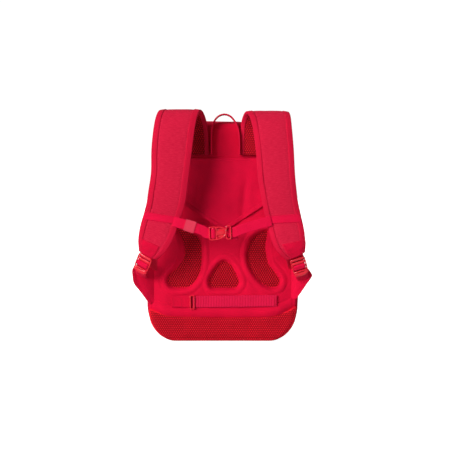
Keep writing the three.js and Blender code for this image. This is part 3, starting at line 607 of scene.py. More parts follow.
# soft creases that run out of the seams, on top of what the filling gives
_n = np.zeros_like(SHELL)
_n[:NG] = np.array([loop_normal(y) for y in GUSSET_Y])
_n[NG:] = [0, 1, 0]
gy = GUSSET_Y[:, None]
edge = np.minimum(np.abs(gy - SEAM_Y), np.abs(gy - FRONT_Y))
crease = ripple(SHELL[:NG] * [1, 0.25, 1], 34, 5) * np.exp(-edge / 16) * 0.8 * (1 - np.exp(-edge / 3))
crease *= (SHELL[:NG, :, 2] > 2)
SHELL[:NG] += crease[..., None] * _n[:NG]
dim = ripple(SHELL[NG:] * [1, 0.2, 1], 60, 9) * 0.9
SHELL[NG:] += (dim * sm(0, 5, np.arange(R - NG))[:, None])[..., None] * _n[NG:]
# stitched trough along the zip
for i, y in enumerate(GUSSET_Y):
    if ZIP_Y0 - 1 < y < ZIP_Y1 + 1:
        SHELL[i, zipped] -= 1.7 * _n[i, zipped]

INNER = SHELL.copy()
INNER[:NG] -= 1.6 * _n[:NG]
INNER[NG:] -= np.array([0, 1.6, 0])
perim = np.concatenate([np.linspace(0, PERIMETER, ROUND, endpoint=False), [PERIMETER]])


def shell_part(name, a, b, close, mat_, slot_name, cad):
    """One part of the shell, rings a to b, as cloth 1.6 mm thick. close fills the middle of the last ring."""
    out_, in_ = SHELL[a:b], INNER[a:b]
    r = b - a
    F1 = grid_quads(r, ROUND)
    n = r * ROUND
    V = np.concatenate([out_.reshape(-1, 3), in_.reshape(-1, 3)])
    faces = [tuple(f) for f in F1] + [tuple(f[::-1] + n) for f in F1]
    arc = np.concatenate([[0], np.cumsum(np.linalg.norm(np.diff(out_.mean(1) * 0 + out_[:, 0], axis=0), axis=1))])
    A = np.repeat(np.arange(r - 1), ROUND)
    B = np.tile(np.arange(ROUND), r - 1)
    if close:
        x, z = out_[..., 0], out_[..., 2]
        xx, zz = np.concatenate([x, x[:, :1]], 1), np.concatenate([z, z[:, :1]], 1)
        cu = np.stack([xx[A, B], xx[A + 1, B], xx[A + 1, B + 1], xx[A, B + 1]], -1)
        cv = np.stack([zz[A, B], zz[A + 1, B], zz[A + 1, B + 1], zz[A, B + 1]], -1)
    else:
        cu = np.stack([perim[B], perim[B], perim[B + 1], perim[B + 1]], -1)
        cv = np.stack([arc[A], arc[A + 1], arc[A + 1], arc[A]], -1)
    uv1 = np.stack([cu, cv], -1)
    UV = np.concatenate([uv1.reshape(-1, 2), uv1[:, ::-1].reshape(-1, 2)])
    j = np.arange(ROUND)
    k = (j + 1) % ROUND
    rim0 = [(int(a_), int(b_), int(b_ + n), int(a_ + n)) for a_, b_ in zip(j, k)]
    faces += rim0
    UV = np.concatenate([UV, np.zeros((4 * ROUND, 2))])
    if close:
        last = (r - 1) * ROUND
        V = np.concatenate([V, out_[-1].mean(0)[None], in_[-1].mean(0)[None]])
        c0, c1 = 2 * n, 2 * n + 1
        faces += [(int(last + a_), int(c0), int(last + b_)) for a_, b_ in zip(j, k)]
        faces += [(int(last + b_ + n), int(c1), int(last + a_ + n)) for a_, b_ in zip(j, k)]
        UV = np.concatenate([UV, np.zeros((6 * ROUND, 2))])
    else:
        last = (r - 1) * ROUND
        faces += [(int(last + b_), int(last + a_), int(last + a_ + n), int(last + b_ + n)) for a_, b_ in zip(j, k)]
        UV = np.concatenate([UV, np.zeros((4 * ROUND, 2))])
    vol = quad_volume(V, np.array([f for f in faces if len(f) == 4]))
    if vol < 0:
        out, at = [], 0
        for f in faces:
            out.append(UV[at:at + len(f)][::-1])
            at += len(f)
        UV = np.concatenate(out)
        faces = [f[::-1] for f in faces]
    ob = build(name, V, faces, mat_, UV * 0.001)
    return finish_piece(ob, slot_name, cad)


shell_part("bag_gusset", 0, NG, False, M["cloth"], "cloth", "body_gusset")
shell_part("bag_front", NG - 1, R, True, M["cloth"], "cloth", "front_panel")

# piping in the seams of the gusset
back_seam = loop_ring(SEAM_Y) - 1.2 * loop_normal(SEAM_Y) + [0, 0.6, 0]
back_seam[:, 2] = np.maximum(back_seam[:, 2], -0.4)
finish_piece(pipe("piping_back_seam", resample(back_seam, 4, True), 1.9, M["piping"], closed=True), "binding")
front_seam = SHELL[NG - 1] + 0.2 * loop_normal(FRONT_Y)
front_seam[:, 2] = np.maximum(front_seam[:, 2], -0.8)
finish_piece(pipe("piping_front_seam", resample(front_seam, 4, True), 1.7, M["piping"], closed=True), "binding")

# ---------------------------------------------------------------- zip: two tapes, coil and slider
zt = np.linspace(9.1, 32.9, 2000)
zy = (ZIP_Y0 + ZIP_Y1) / 2
zc = loop_ring(zy, zt)
zn = loop_normal(zy, zt)
zL = np.concatenate([[0], np.cumsum(np.linalg.norm(np.diff(zc, axis=0), axis=1))])
t_even = np.interp(np.arange(0, zL[-1], 4.0), zL, zt)
for sgn, nm in ((-1, "inner"), (1, "outer")):
    n_ = loop_normal(zy, t_even)
    y0, y1 = zy + sgn * 0.9, zy + sgn * 3.7
    c0, c1 = loop_ring(zy, t_even), loop_ring(zy, t_even)
    c0[:, 1], c1[:, 1] = y0, y1
    k = np.linspace(0, 1, 5)[None, :, None]
    mid = c0[:, None] * (1 - k) + c1[:, None] * k
    ob = slab(f"zip_tape_{nm}", mid - n_[:, None] * 0.7, mid - n_[:, None] * 1.5,
              np.stack(np.broadcast_arrays(np.linspace(0, 0.003, 5)[None], np.arange(len(t_even))[:, None] * 0.004), -1), M["web"])
    finish_piece(ob, "webbing", "zip_tape")
# the coil: one small rounded tooth after the other, from each side in turn
tt = np.interp(np.arange(1.0, zL[-1] - 1, 1.5), zL, zt)
tc, tn = loop_ring(zy, tt), loop_normal(zy, tt)
td = unit(np.cross(tn, [0, 1, 0]))
VV, FF = [], []
for i in range(len(tt)):
    s = -1 if i % 2 else 1
    c = tc[i] - tn[i] * 0.15
    box = []
    for hy, w, lift in ((-0.5 * s, 0.45, 0.42), (0.4 * s, 0.55, 0.75), (2.0 * s, 0.42, 0.35)):
        for a, b in ((1, 0), (0, 1), (-1, 0), (0, -1)):
            box.append(c + np.array([0, hy, 0]) + td[i] * a * w + tn[i] * b * lift)
    base = 12 * i
    VV += box
    for r_ in range(2):
        for j in range(4):
            a, b = base + r_ * 4 + j, base + r_ * 4 + (j + 1) % 4
            FF.append((a, b, b + 4, a + 4) if s > 0 else (b, a, a + 4, b + 4))
    FF.append((base + 3, base + 2, base + 1, base) if s > 0 else (base, base + 1, base + 2, base + 3))
    FF.append((base + 8, base + 9, base + 10, base + 11) if s > 0 else (base + 11, base + 10, base + 9, base + 8))
finish_piece(build("zip_coil", np.array(VV), FF, M["plastic"], uv=np.zeros((len(VV), 2))), "plastic")


# ---------------------------------------------------------------- back panel
def closed_curve(table, n=260):
    q = row(table, np.linspace(0, len(table), n * 4, endpoint=False), closed=True)
    return resample(q, 1.6, True)


def signed_distance(x, z, curve):
    """Distance to a closed curve, positive outside."""
    P = np.stack([x.ravel(), z.ravel()], -1)
    A, B = curve, np.roll(curve, -1, 0)
    best = np.full(len(P), 1e9)
    inside = np.zeros(len(P), bool)
    for a, b in zip(A, B):
        d = b - a
        t = np.clip(((P - a) @ d) / (d @ d), 0, 1)
        q = P - a - t[:, None] * d
        best = np.minimum(best, (q * q).sum(1))
        cross = ((a[1] > P[:, 1]) != (b[1] > P[:, 1]))
        if abs(d[1]) > 1e-12:
            inside ^= cross & (P[:, 0] < a[0] + (P[:, 1] - a[1]) / d[1] * d[0])
    r = np.sqrt(best)
    return np.where(inside, -r, r).reshape(x.shape)


RECESSES = {"left": closed_curve(KIDNEY_LEFT), "right": closed_curve(KIDNEY_RIGHT), "center": closed_curve(CENTER_RECESS)}
FLOOR_Y = BACK_Y - 3.6


def hex_holes(a, b, pitch):
    """0 on the raised dots of a netting, which stand in staggered rows, and 1 in the ground between them."""
    k = 4 * math.pi / (math.sqrt(3) * pitch)
    f = sum(np.cos(k * (math.cos(q) * a + math.sin(q) * b)) for q in (math.pi / 2, math.pi / 2 + 2 * math.pi / 3, math.pi / 2 + 4 * math.pi / 3)) / 3
    return 1 - sm(-0.12, 0.50, f)


def panel_y(x, z):
    e = np.minimum(panel_half(z) - np.abs(x), PANEL_TOP - z)
    k = np.clip(e / 14, 0, 1)
    round_ = np.sqrt(1 - (1 - k) ** 2)
    pad = sm(256, 228, z) * sm(147, 110, np.abs(x))
    roll = np.exp(-(((z - border(x) - 10) / 9) ** 2)) * sm(148, 118, np.abs(x))
    y = BACK_Y - 3 - (PANEL_BASE - 3) * round_ - PAD_RISE * pad - 2 * roll
    return y, e


rows_, cols_ = 236, 190
v = np.linspace(0, 1, rows_)[:, None]
u = np.linspace(-1, 1, cols_)[None, :]
zlow = border(u * 147) - 1.2
pz = zlow + v * (PANEL_TOP - zlow)
px = u * panel_half(pz)
py, pe = panel_y(px, pz)
dist = {k: signed_distance(px, pz, c) for k, c in RECESSES.items()}
d = np.minimum(np.minimum(dist["left"], dist["right"]), dist["center"])
# raised soft rims round the recesses with a pressed groove outside them
lobe = np.exp(-(((np.abs(px) - 92) / 15) ** 2 + ((pz - 178) / 30) ** 2))
py -= 1.0 * np.exp(-(((d - 6.0) / 4.0) ** 2)) * (1 - 0.8 * lobe)
py += 0.75 * np.exp(-(((d - 12.6) / 2.2) ** 2)) * (1 - 0.7 * lobe) * sm(232, 216, pz)
# pressed line and rounded edge round the whole panel
py += 0.8 * np.exp(-(((pe - 7.0) / 1.5) ** 2)) * sm(60, 74, pz)
py -= 0.4 * np.exp(-(((pe - 3.2) / 2.0) ** 2)) * sm(60, 74, pz)
# pressed line above the padded roll
py += 1.1 * np.exp(-(((pz - border(px) - 21.5) / 2.2) ** 2)) * sm(144, 132, np.abs(px))
py -= 1.0 * np.exp(-(((pz - border(px) - 9) / 7.5) ** 2))
py += 5.0 * sm(229, 241, pz) * sm(300, 282, pz) * sm(-12, -28, px) * sm(-128, -112, px)
# the roll turns in to its seam with the lumbar pad
py += 1.4 * np.exp(-np.maximum(pz - border(px), 0) / 2.0)
# slack of the cloth over the foam
P2 = np.stack([px, pz], -1)
py += 0.35 * ripple(P2, 70, 21) + 0.12 * ripple(P2, 26, 22)
# soft upright folds in the yoke, beside the feet of the haul loop
yoke = sm(378, 392, pz) * sm(444, 430, pz)
py += yoke * (1.3 * np.exp(-(((px + 31 + (pz - 380) * 0.05) / 4.5) ** 2)) + 0.9 * np.exp(-(((px - 39) / 5) ** 2)) - 0.8 * np.exp(-(((px - 4) / 20) ** 2)))
t_ = np.clip((4.6 + 9.5 * lobe - d) / (8.4 + 9.5 * lobe), 0, 1)
wall = t_ ** 2.4 * (1 - lobe) + t_ * t_ * (3 - 2 * t_) * lobe
py = py * (1 - wall) + (FLOOR_Y + 0.6) * wall
face = np.stack([px, py, pz], -1)
n = rows_ * cols_
ids = np.arange(n).reshape(rows_, cols_)
rim = np.concatenate([ids[0, :-1], ids[:-1, -1], ids[-1, :0:-1], ids[:0:-1, 0]])
q = np.stack([ids[:-1, :-1], ids[:-1, 1:], ids[1:, 1:], ids[1:, :-1]], -1).reshape(-1, 4)
Vp = face.reshape(-1, 3)
rimback = Vp[rim].copy()
rimback[:, 1] = BACK_Y
Vp = np.concatenate([Vp, rimback])
m = len(rim)
sides = [(int(rim[(i + 1) % m]), int(rim[i]), n + i, n + (i + 1) % m) for i in range(m)]
faces = [tuple(f) for f in q] + sides + [tuple(n + i for i in reversed(range(m)))]
# the face has to look towards -y
a_, b_, c_ = Vp[q[0, 0]], Vp[q[0, 1]], Vp[q[0, 2]]
if np.cross(b_ - a_, c_ - b_)[1] > 0:
    faces = [f[::-1] for f in faces]
ob = build("back_panel_padding", Vp, faces, M["panel"], uv=np.stack([Vp[:, 0], Vp[:, 2]], -1) * 0.001)
finish_piece(ob, "cloth", "back_panel", padded=0.9)

# netting in the recesses
for name, curve in RECESSES.items():
    x0, z0 = curve.min(0) - 2
    x1, z1 = curve.max(0) + 2
    step = 0.85
    gx, gz = np.meshgrid(np.arange(x0, x1, step), np.arange(z0, z1, step))
    dd = signed_distance(gx, gz, curve)
    hole = hex_holes(gx, gz, 4.7)
    gy_ = FLOOR_Y - 1.4 - 0.8 * sm(0, -14, dd) + 1.35 * hole
    ids = np.arange(gx.size).reshape(gx.shape)
    keep = dd < 1.2
    ok = keep[:-1, :-1] & keep[:-1, 1:] & keep[1:, 1:] & keep[1:, :-1]
    q = np.stack([ids[:-1, :-1], ids[:-1, 1:], ids[1:, 1:], ids[1:, :-1]], -1)[ok]
    V = np.stack([gx, gy_, gz], -1).reshape(-1, 3)
    used, inv = np.unique(q, return_inverse=True)
    F = inv.reshape(-1, 4)
    V = V[used]
    # close it behind, so that it is one thin body
    k = len(V)
    Vb = V.copy()
    Vb[:, 1] = FLOOR_Y + 0.2
    E = {}
    for f in F:
        for a, b in ((f[0], f[1]), (f[1], f[2]), (f[2], f[3]), (f[3], f[0])):
            if (b, a) in E:
                del E[(b, a)]
            else:
                E[(a, b)] = True
    used_rim = sorted({v_ for e_ in E for v_ in e_})
    remap = {v_: k + i for i, v_ in enumerate(used_rim)}
    V2 = np.concatenate([V, Vb[used_rim]])
    sides = [(b, a, remap[a], remap[b]) for a, b in E]
    # walk the border for the flat back
    nxt = {a: b for a, b in E}
    start_ = next(iter(nxt))
    loop_, cur = [start_], nxt[start_]
    while cur != start_ and len(loop_) < len(nxt) + 2:
        loop_.append(cur)
        cur = nxt[cur]
    faces = [tuple(f) for f in F] + sides
    if len(loop_) == len(nxt):
        faces.append(tuple(remap[v_] for v_ in reversed(loop_)))
    a_, b_, c_ = V2[F[0, 0]], V2[F[0, 1]], V2[F[0, 2]]
    if np.cross(b_ - a_, c_ - b_)[1] > 0:
        faces = [f[::-1] for f in faces]
    # the holes, kept as the depth attribute, get the painted shade of the netting material
    depth = np.concatenate([hole.reshape(-1)[used], np.zeros(len(used_rim))])
    ob = build(f"netting_{name}", V2, faces, M["mesh"], uv=np.stack([V2[:, 0], V2[:, 2]], -1) * 0.001, depth=depth)
    finish_piece(ob, "mesh", f"recess_mesh_{name}")

# ---------------------------------------------------------------- lumbar pad under its netting
rows_, cols_ = 80, 352
Z0 = -0.9
v = np.linspace(0, 1, rows_)[:, None] ** 1.12
u = np.linspace(-1, 1, cols_)[None, :]
top = border(u * 147) - 0.2
lz = Z0 + v * (top - Z0)
lx = u * panel_half(lz)
k = np.clip(np.minimum(panel_half(lz) - np.abs(lx) + 1.5, lz - Z0 + 1) / 15, 0, 1)
edge_ = np.sqrt(1 - (1 - k) ** 2)
seam_ = 0.80 + 0.20 * sm(0, 9, top - lz)
ly = BACK_Y - 2.2 - 9.5 * edge_ * seam_
inner = sm(0.5, 4, np.minimum(panel_half(lz) - np.abs(lx), np.minimum(top - lz, lz - Z0)))
hole = hex_holes(lx, lz, 4.4) * inner
ly = ly + 1.05 * hole + 0.5 * ripple(np.stack([lx, lz], -1), 60, 31)
lback = np.stack([lx, np.full_like(lx, BACK_Y), lz], -1)
# the holes, passed on as depth, get the painted shade of the netting material
ob = slab("lumbar_padding", np.stack([lx, ly, lz], -1)[::1], lback, np.stack([lx, lz], -1) * 0.001, M["mesh"], depth=hole * 0.85)
finish_piece(ob, "mesh", "lumbar_pad", padded=0.8)

# ---------------------------------------------------------------- cover flap with its free V edge
TOP = 375.5
rows_, cols_ = 97, 150
v_edge = lambda x: 225 + 0.665 * np.sqrt((x - 4) ** 2 + 20)
v = np.linspace(0, 1, rows_)[:, None]
u = np.linspace(-1, 1, cols_)[None, :]
fz = TOP - v * (TOP - v_edge(u * 137))
fx = u * (panel_half(fz) - 5)
lie = 1.16 - 0.96 * sm(-0.38, 0.40, u)
fy = -95.6 - 12.5 * lie * v ** 1.2 * (1 - u * u) ** 0.8
fy += 3.6 * sm(26, 0, panel_half(fz) - 5 - np.abs(fx)) + 2.6 * v * sm(0.06, 0.4, u)
free = fz - v_edge(fx)
# hem along the free edge, with the sheet lifting a little there
fy -= (0.45 + 0.35 * sm(-0.1, 0.2, u)) * sm(8.5, 6.8, free)
fy += 0.45 * np.exp(-(((free - 9.3) / 1.1) ** 2))
# soft folds: one falls from the right strap to the V, others fan from the top corners
F2 = np.stack([fx, fz], -1)
fold = np.exp(-(((fx - 43 - (fz - 290) * 0.10) / 6.5) ** 2)) * sm(345, 300, fz) * sm(228, 250, fz)
fold2 = np.exp(-(((fx + 52 + (fz - 300) * 0.18) / 9) ** 2)) * sm(360, 320, fz)
fy += 1.5 * fold + 1.0 * fold2 - 0.9 * np.exp(-(((fx - 56) / 8) ** 2)) * sm(345, 300, fz)
fy += (0.7 * ripple(F2 * [1, 0.6], 75, 41) + 0.22 * ripple(F2 * [1, 0.5], 30, 42)) * sm(0, 25, TOP - fz) * sm(0, 14, 137 - np.abs(fx))
# it is turned in at the yoke seam
fy += 2.2 * np.exp(-(TOP - fz) / 2.0) - 0.8 * np.exp(-(((TOP - fz - 4) / 2.4) ** 2))
face = np.stack([fx, fy, fz], -1)
thick = 1.5 + 1.2 * sm(8.5, 6.8, free)
back = face + np.stack([np.zeros_like(fx), thick, np.zeros_like(fx)], -1)
ob = slab("cover_flap_sheet", face, back, np.stack([fx, fz], -1) * 0.001, M["cloth"])
finish_piece(ob, "cloth", "cover_flap")
nf = np.tile([0.0, -1.0, 0.0], (cols_, 1))
for off in (7.6,):
    xs = np.linspace(-118, 118, 200)
    zs = v_edge(xs) + off
    ys = np.array([fy[np.argmin(np.abs(fz[:, j] - z)), j] for x, z in zip(xs, zs) for j in [int(np.argmin(np.abs(fx[40] - x)))]])
    sew("flap", np.stack([xs, ys - 0.1, zs], -1), np.tile([0.0, -1, 0], (200, 1)))


# ---------------------------------------------------------------- shoulder straps
def strap_frame(table, s):
    q = row(table, s)
    n_ = len(table)
    a, b = row(table, np.maximum(0, s - 0.05)), row(table, np.minimum(n_ - 1, s + 0.05))
    d_ = unit(b[:, :3] - a[:, :3])
    flip = 1 if table is STRAP_RIGHT else -1
    tilt = np.radians(q[:, 4])
    ac = np.stack([np.cos(tilt), np.zeros(len(q)), flip * np.sin(tilt)], -1)
    ac = unit(ac - (ac * d_).sum(-1, keepdims=True) * d_)
    return q[:, :3], ac, unit(np.cross(d_, ac)), q[:, 3]


def strap_depth(u_, w):
    return STRAP_EDGE + (STRAP_CORE - STRAP_EDGE) * (1 - np.abs(u_) ** 2.6) * np.clip(w / 60, 0.35, 1)


def strap_at(table, s, u_, h):
    """Points of a strap: s rows along, u across, h above (or below) its middle. s, u and h have one shape."""
    shp = np.broadcast(s, u_, h).shape
    s, u_, h = (np.broadcast_to(a, shp).ravel() for a in (s, u_, h))
    c, ac, out, w = strap_frame(table, s)
    return (c + ac * (u_ * w / 2)[:, None] + out * h[:, None]).reshape(*shp, 3)


def width_at(table, s):
    return row(table, np.ravel(s))[:, 3].reshape(np.shape(s))


BIND = {"left": 10.5, "right": 9.5}     # width of the tape on the face
LINING_BIND = 7.5                       # and on the lining
for side, table in (("left", STRAP_LEFT), ("right", STRAP_RIGHT)):
    last = len(table) - 1
    S = np.interp(np.linspace(0, 1, 262), [0, 1], [0, last])
    W = width_at(table, S)
    seed = 51 if side == "left" else 61
    # padded core: a section with a slight dip just inside each tape
    uu = np.concatenate([np.linspace(-1, 1, 41), np.linspace(1, -1, 41)[1:-1]])
    up = np.concatenate([np.ones(41), -np.ones(39)])
    Sg, Ug = np.broadcast_arrays(S[:, None], uu[None])
    Wg = W[:, None] * np.ones_like(Ug)
    from_edge = (1 - np.abs(Ug)) * Wg / 2
    prof = strap_depth(Ug, Wg)
    prof = np.where(np.abs(Ug) > 0.999, 0.0, prof - 0.15)
    face_dip = 0.25 * np.exp(-(((from_edge - BIND[side] - 1.0) / 1.4) ** 2))
    puff = 0.30 * ripple(np.stack([Sg * 34, Ug * 36, Ug * 0], -1), 60, seed) + 0.08 * ripple(np.stack([Sg * 34, Ug * 36, Ug * 0], -1), 22, seed + 1)
    H = np.where(up[None] > 0, prof - face_dip + puff * (np.abs(Ug) < 0.95), -prof + 0.5)
    H = np.where(np.abs(Ug) > 0.999, 0.0, H)
    rings = strap_at(table, Sg, Ug * 0.995, H)
    ob = tube(f"strap_{side}_padding", rings, M["texture"])
    finish_piece(ob, "textured_cloth", f"shoulder_strap_{side}", padded=0.85)

    # netting on the side that lies on the shoulder
    sl = np.interp(np.linspace(0, 1, 392), [0, 1], [0.02, last - 0.6])
    ul = np.linspace(-0.9, 0.9, 58)
    Sg, Ug = np.broadcast_arrays(sl[:, None], ul[None])
    Wg = width_at(table, sl)[:, None] * np.ones_like(Ug)
    c_ = row(table, sl)[:, :3]
    run = np.concatenate([[0], np.cumsum(np.linalg.norm(np.diff(c_, axis=0), axis=1))])
    hole = hex_holes(Ug * Wg / 2, run[:, None] * np.ones_like(Ug), 4.5)
    edge_ = sm(0, 3.0, (1 - np.abs(Ug)) * Wg / 2 - 5.0)
    hole = hole * edge_
    base_h = -strap_depth(Ug, Wg)
    face = strap_at(table, Sg, Ug, base_h - 0.55 + 0.95 * hole)
    back = strap_at(table, Sg, Ug, base_h + 0.6)
    # the holes, passed on as depth, get the painted shade of the netting material
    ob = slab(f"strap_{side}_netting", face, back, np.stack([Ug * Wg / 2, run[:, None] * np.ones_like(Ug)], -1) * 0.001, M["mesh"], depth=hole)
    finish_piece(ob, "mesh", f"shoulder_strap_{side}")

    # tapes that bind both edges
    for e_, edge_name in ((-1, "a"), (1, "b")):
        sb = np.interp(np.linspace(0, 1, 238), [0, 1], [0, last])
        Wb = width_at(table, sb)
        taper = np.clip(Wb / 70, 0.45, 1)
        fw = BIND[side] * taper
        lw = LINING_BIND * taper
        # outer line of the section, from the inner rim on the face, round the edge, to the rim on the lining
        k = np.concatenate([np.linspace(0, 1, 9), 1 + np.linspace(0, 1, 8)[1:-1], 2 + np.linspace(0, 1, 8)])
        outer, inner_ = [], []
        for kk in k:
            if kk <= 1:
                dist_ = fw * (1 - kk)
                u_ = 1 - dist_ / (Wb / 2)
                h = strap_depth(u_, Wb) + 0.45 - 0.45 * np.exp(-((dist_ - fw) / 0.9) ** 2) + 0.25 * math.sin(math.pi * kk)
                g = 0.0
            elif kk < 2:
                a = (kk - 1) * math.pi
                u_ = np.ones_like(Wb)
                h = (STRAP_EDGE + 0.75) * math.cos(a)
                g = 1.5 * math.sin(a)
            else:
                dist_ = lw * (kk - 2)
                u_ = 1 - dist_ / (Wb / 2)
                h = -(strap_depth(u_, Wb) + 0.85 - 0.5 * np.exp(-((dist_ - lw) / 0.9) ** 2) + 0.2 * math.sin(math.pi * (kk - 2)))
                g = 0.0
            P = strap_at(table, sb, e_ * u_, np.asarray(h) * np.ones_like(Wb))
            _, ac, _, _ = strap_frame(table, sb)
            outer.append(P + e_ * ac * g)
            hi = np.sign(h) * np.maximum(np.abs(h) - 1.0, 0.0) if not np.isscalar(h) else (abs(h) - 1.0 if abs(h) > 1 else 0.12 * abs(h)) * (1 if h > 0 else -1)
            Q = strap_at(table, sb, e_ * (u_ - 0.9 * (g > 0) / (Wb / 2)), np.asarray(hi) * np.ones_like(Wb))
            inner_.append(Q)
        section = np.stack(outer + inner_[::-1], 1)
        ob = tube(f"strap_{side}_tape_{edge_name}", section, M["binding"])
        finish_piece(ob, "binding", f"shoulder_strap_{side}")
        # two rows of stitches on the face, one on the lining
        for inset, sgn in ((1.4, 1), (4.4, 1), (1.4, -1)):
            wband = fw if sgn > 0 else lw
            dist_ = wband - inset * taper
            u_ = 1 - dist_ / (Wb / 2)
            h = sgn * (strap_depth(u_, Wb) + (0.6 if sgn > 0 else 0.95))
            P = strap_at(table, sb, e_ * u_, h)
            _, _, out, _ = strap_frame(table, sb)
            sew(f"strap_{side}", P, out * sgn)

    # band across the strap, where the chest strap is sewn on
    s0, s1, skew = (10.67, 11.38, -0.24) if side == "left" else (10.82, 11.52, 0.24)
    ub = np.linspace(-1.0, 1.0, 61)
    vb = np.linspace(0, 1, 26)
    Sg = (s0 + (s1 - s0) * vb)[:, None] + skew * ub[None]
    Ug = ub[None] * np.ones_like(Sg)
    Wg = width_at(table, Sg)
    rim_ = np.minimum(np.minimum(vb, 1 - vb)[:, None] * 18, (1 - np.abs(Ug)) * Wg / 2 + 0.4)
    hb = strap_depth(Ug, Wg) + 0.7 + 0.6 * sm(0, 1.6, rim_) + 0.12 * ripple(np.stack([Sg * 30, Ug * 35], -1), 18, seed + 5)
    over = strap_at(table, Sg, Ug * 1.012, hb)
    under = strap_at(table, Sg, Ug * 1.0, hb - 1.0)
    ob = slab(f"chest_band_{side}_cloth", over, under, np.stack([Ug * Wg / 2, (Sg - s0) * 24], -1) * 0.001, M["web"])
    finish_piece(ob, "binding", f"chest_band_{side}")
    for r_ in (2, 23):
        _, _, out, _ = strap_frame(table, Sg[r_])
        sew(f"strap_{side}", over[r_] + out * 0.05, out)
    for c_i in (3, 57):
        P = over[:, c_i]
        _, _, out, _ = strap_frame(table, Sg[:, c_i])
        sew(f"strap_{side}", P + out * 0.05, out)

    # smooth tab over the end, which runs on to the adjuster
    e_out = -1 if side == "left" else 1        # outer side of the strap across
    sv = np.linspace(0, 1, 70)[:, None]
    uv_ = np.linspace(0, 1, 46)[None, :]       # 0 at the outer side, 1 at the inner
    start_s = 13.4 + 0.03 * uv_ if side == "left" else 13.55 - 0.4 * uv_
    stop = last - 0.02
    Sg = start_s + (stop - start_s) * sv
    Wg = width_at(table, Sg)
    tp = np.clip(Wg / 70, 0.45, 1)
    u_o = 1 - 0.72 * BIND[side] * tp / (Wg / 2)
    u_i = -(0.50 + 0.16 * sv)
    Ug = e_out * (u_o + (u_i - u_o) * uv_)
    rim_ = np.minimum(sv * 45, np.minimum(uv_, 1 - uv_) * 44)
    hb = strap_depth(Ug, Wg) + 0.35 + 0.5 * sm(0, 1.5, rim_) + 0.2 * ripple(np.stack([Sg * 30, Ug * 30], -1), 20, seed + 7)
    over = strap_at(table, Sg, Ug, hb)
    under = strap_at(table, Sg, Ug, hb - 0.9)
    # the last rows carry on behind the top bar of the adjuster
    Lk = LOCKS[side]
    dn = unit(Lk["down"])
    ac_ = np.array(Lk["across"], float)
    ac_ = unit(ac_ - (ac_ @ dn) * dn)
    ot = np.cross(ac_, dn)
    ot = -ot if ot[1] > 0 else ot
    ko = np.array(Lk["o"], float)
    lane = np.linspace(14.2, -14.2, 46) if side == "right" else np.linspace(-14.2, 14.2, 46)
    goal = lambda a_, b_: ko + dn * a_ + ac_ * lane[:, None] + ot * b_
    tail_o = [goal(-3.0, -0.4), goal(0.6, -1.0), goal(4.5, -1.6), goal(8.2, -1.9)]
    tail_u = [goal(-3.0, -2.4), goal(0.6, -3.2), goal(4.5, -3.4), goal(8.2, -3.3)]
    first = over[-1]
    blend = []
    for k in np.linspace(0, 1, 8)[1:-1]:
        blend.append(first * (1 - k) + tail_o[0] * k)
    blend_u = [under[-1] * (1 - k) + tail_u[0] * k for k in np.linspace(0, 1, 8)[1:-1]]
    over2 = np.concatenate([over, blend, tail_o])
    under2 = np.concatenate([under, blend_u, tail_u])
    g2 = np.stack(np.broadcast_arrays(uv_ * 44, np.arange(len(over2))[:, None] * 0.9), -1) * 0.001
    ob = slab(f"strap_{side}_end", over2, under2, g2, M["cloth"])
    finish_piece(ob, "cloth", f"shoulder_strap_{side}")
    for path in ((3, slice(2, 44)), (slice(3, 66), 3), (slice(3, 66), 42), (26, slice(4, 42))):
        P, SS = over[path], Sg[path]
        _, _, out, _ = strap_frame(table, SS)
        sew(f"strap_{side}", P + out * 0.05, out)


# ---------------------------------------------------------------- webbing
def smooth_path(stations, step=1.3):
    """Stations (point, width direction, radius of the turn) to an even run of points with turns rounded."""
    P = [np.asarray(p, float) for p, _, _ in stations]
    Wd = [unit(w) for _, w, _ in stations]
    pts, ws = [P[0]], [Wd[0]]
    for i in range(1, len(P) - 1):
        a, b = P[i - 1] - P[i], P[i + 1] - P[i]
        la, lb = np.linalg.norm(a), np.linalg.norm(b)
        r_ = min(stations[i][2], 0.48 * la, 0.48 * lb)
        p0, p2 = P[i] + a / la * r_, P[i] + b / lb * r_
        w0 = Wd[i] * (1 - r_ / la) + Wd[i - 1] * (r_ / la)
        w2 = Wd[i] * (1 - r_ / lb) + Wd[i + 1] * (r_ / lb)
        for t in np.linspace(0, 1, 7):
            pts.append((1 - t) ** 2 * p0 + 2 * t * (1 - t) * P[i] + t * t * p2)
            ws.append((1 - t) * w0 + t * w2)
    pts.append(P[-1])
    ws.append(Wd[-1])
    A = np.concatenate([np.array(pts), np.array(ws)], 1)
    L = np.concatenate([[0], np.cumsum(np.linalg.norm(np.diff(A[:, :3], axis=0), axis=1))])
    keep = np.concatenate([[True], np.diff(L) > 1e-6])
    A, L = A[keep], L[keep]
    t = np.linspace(0, L[-1], max(8, int(L[-1] / step)))
    B = np.stack([np.interp(t, L, A[:, k]) for k in range(6)], -1)
    return B[:, :3], unit(B[:, 3:]), t


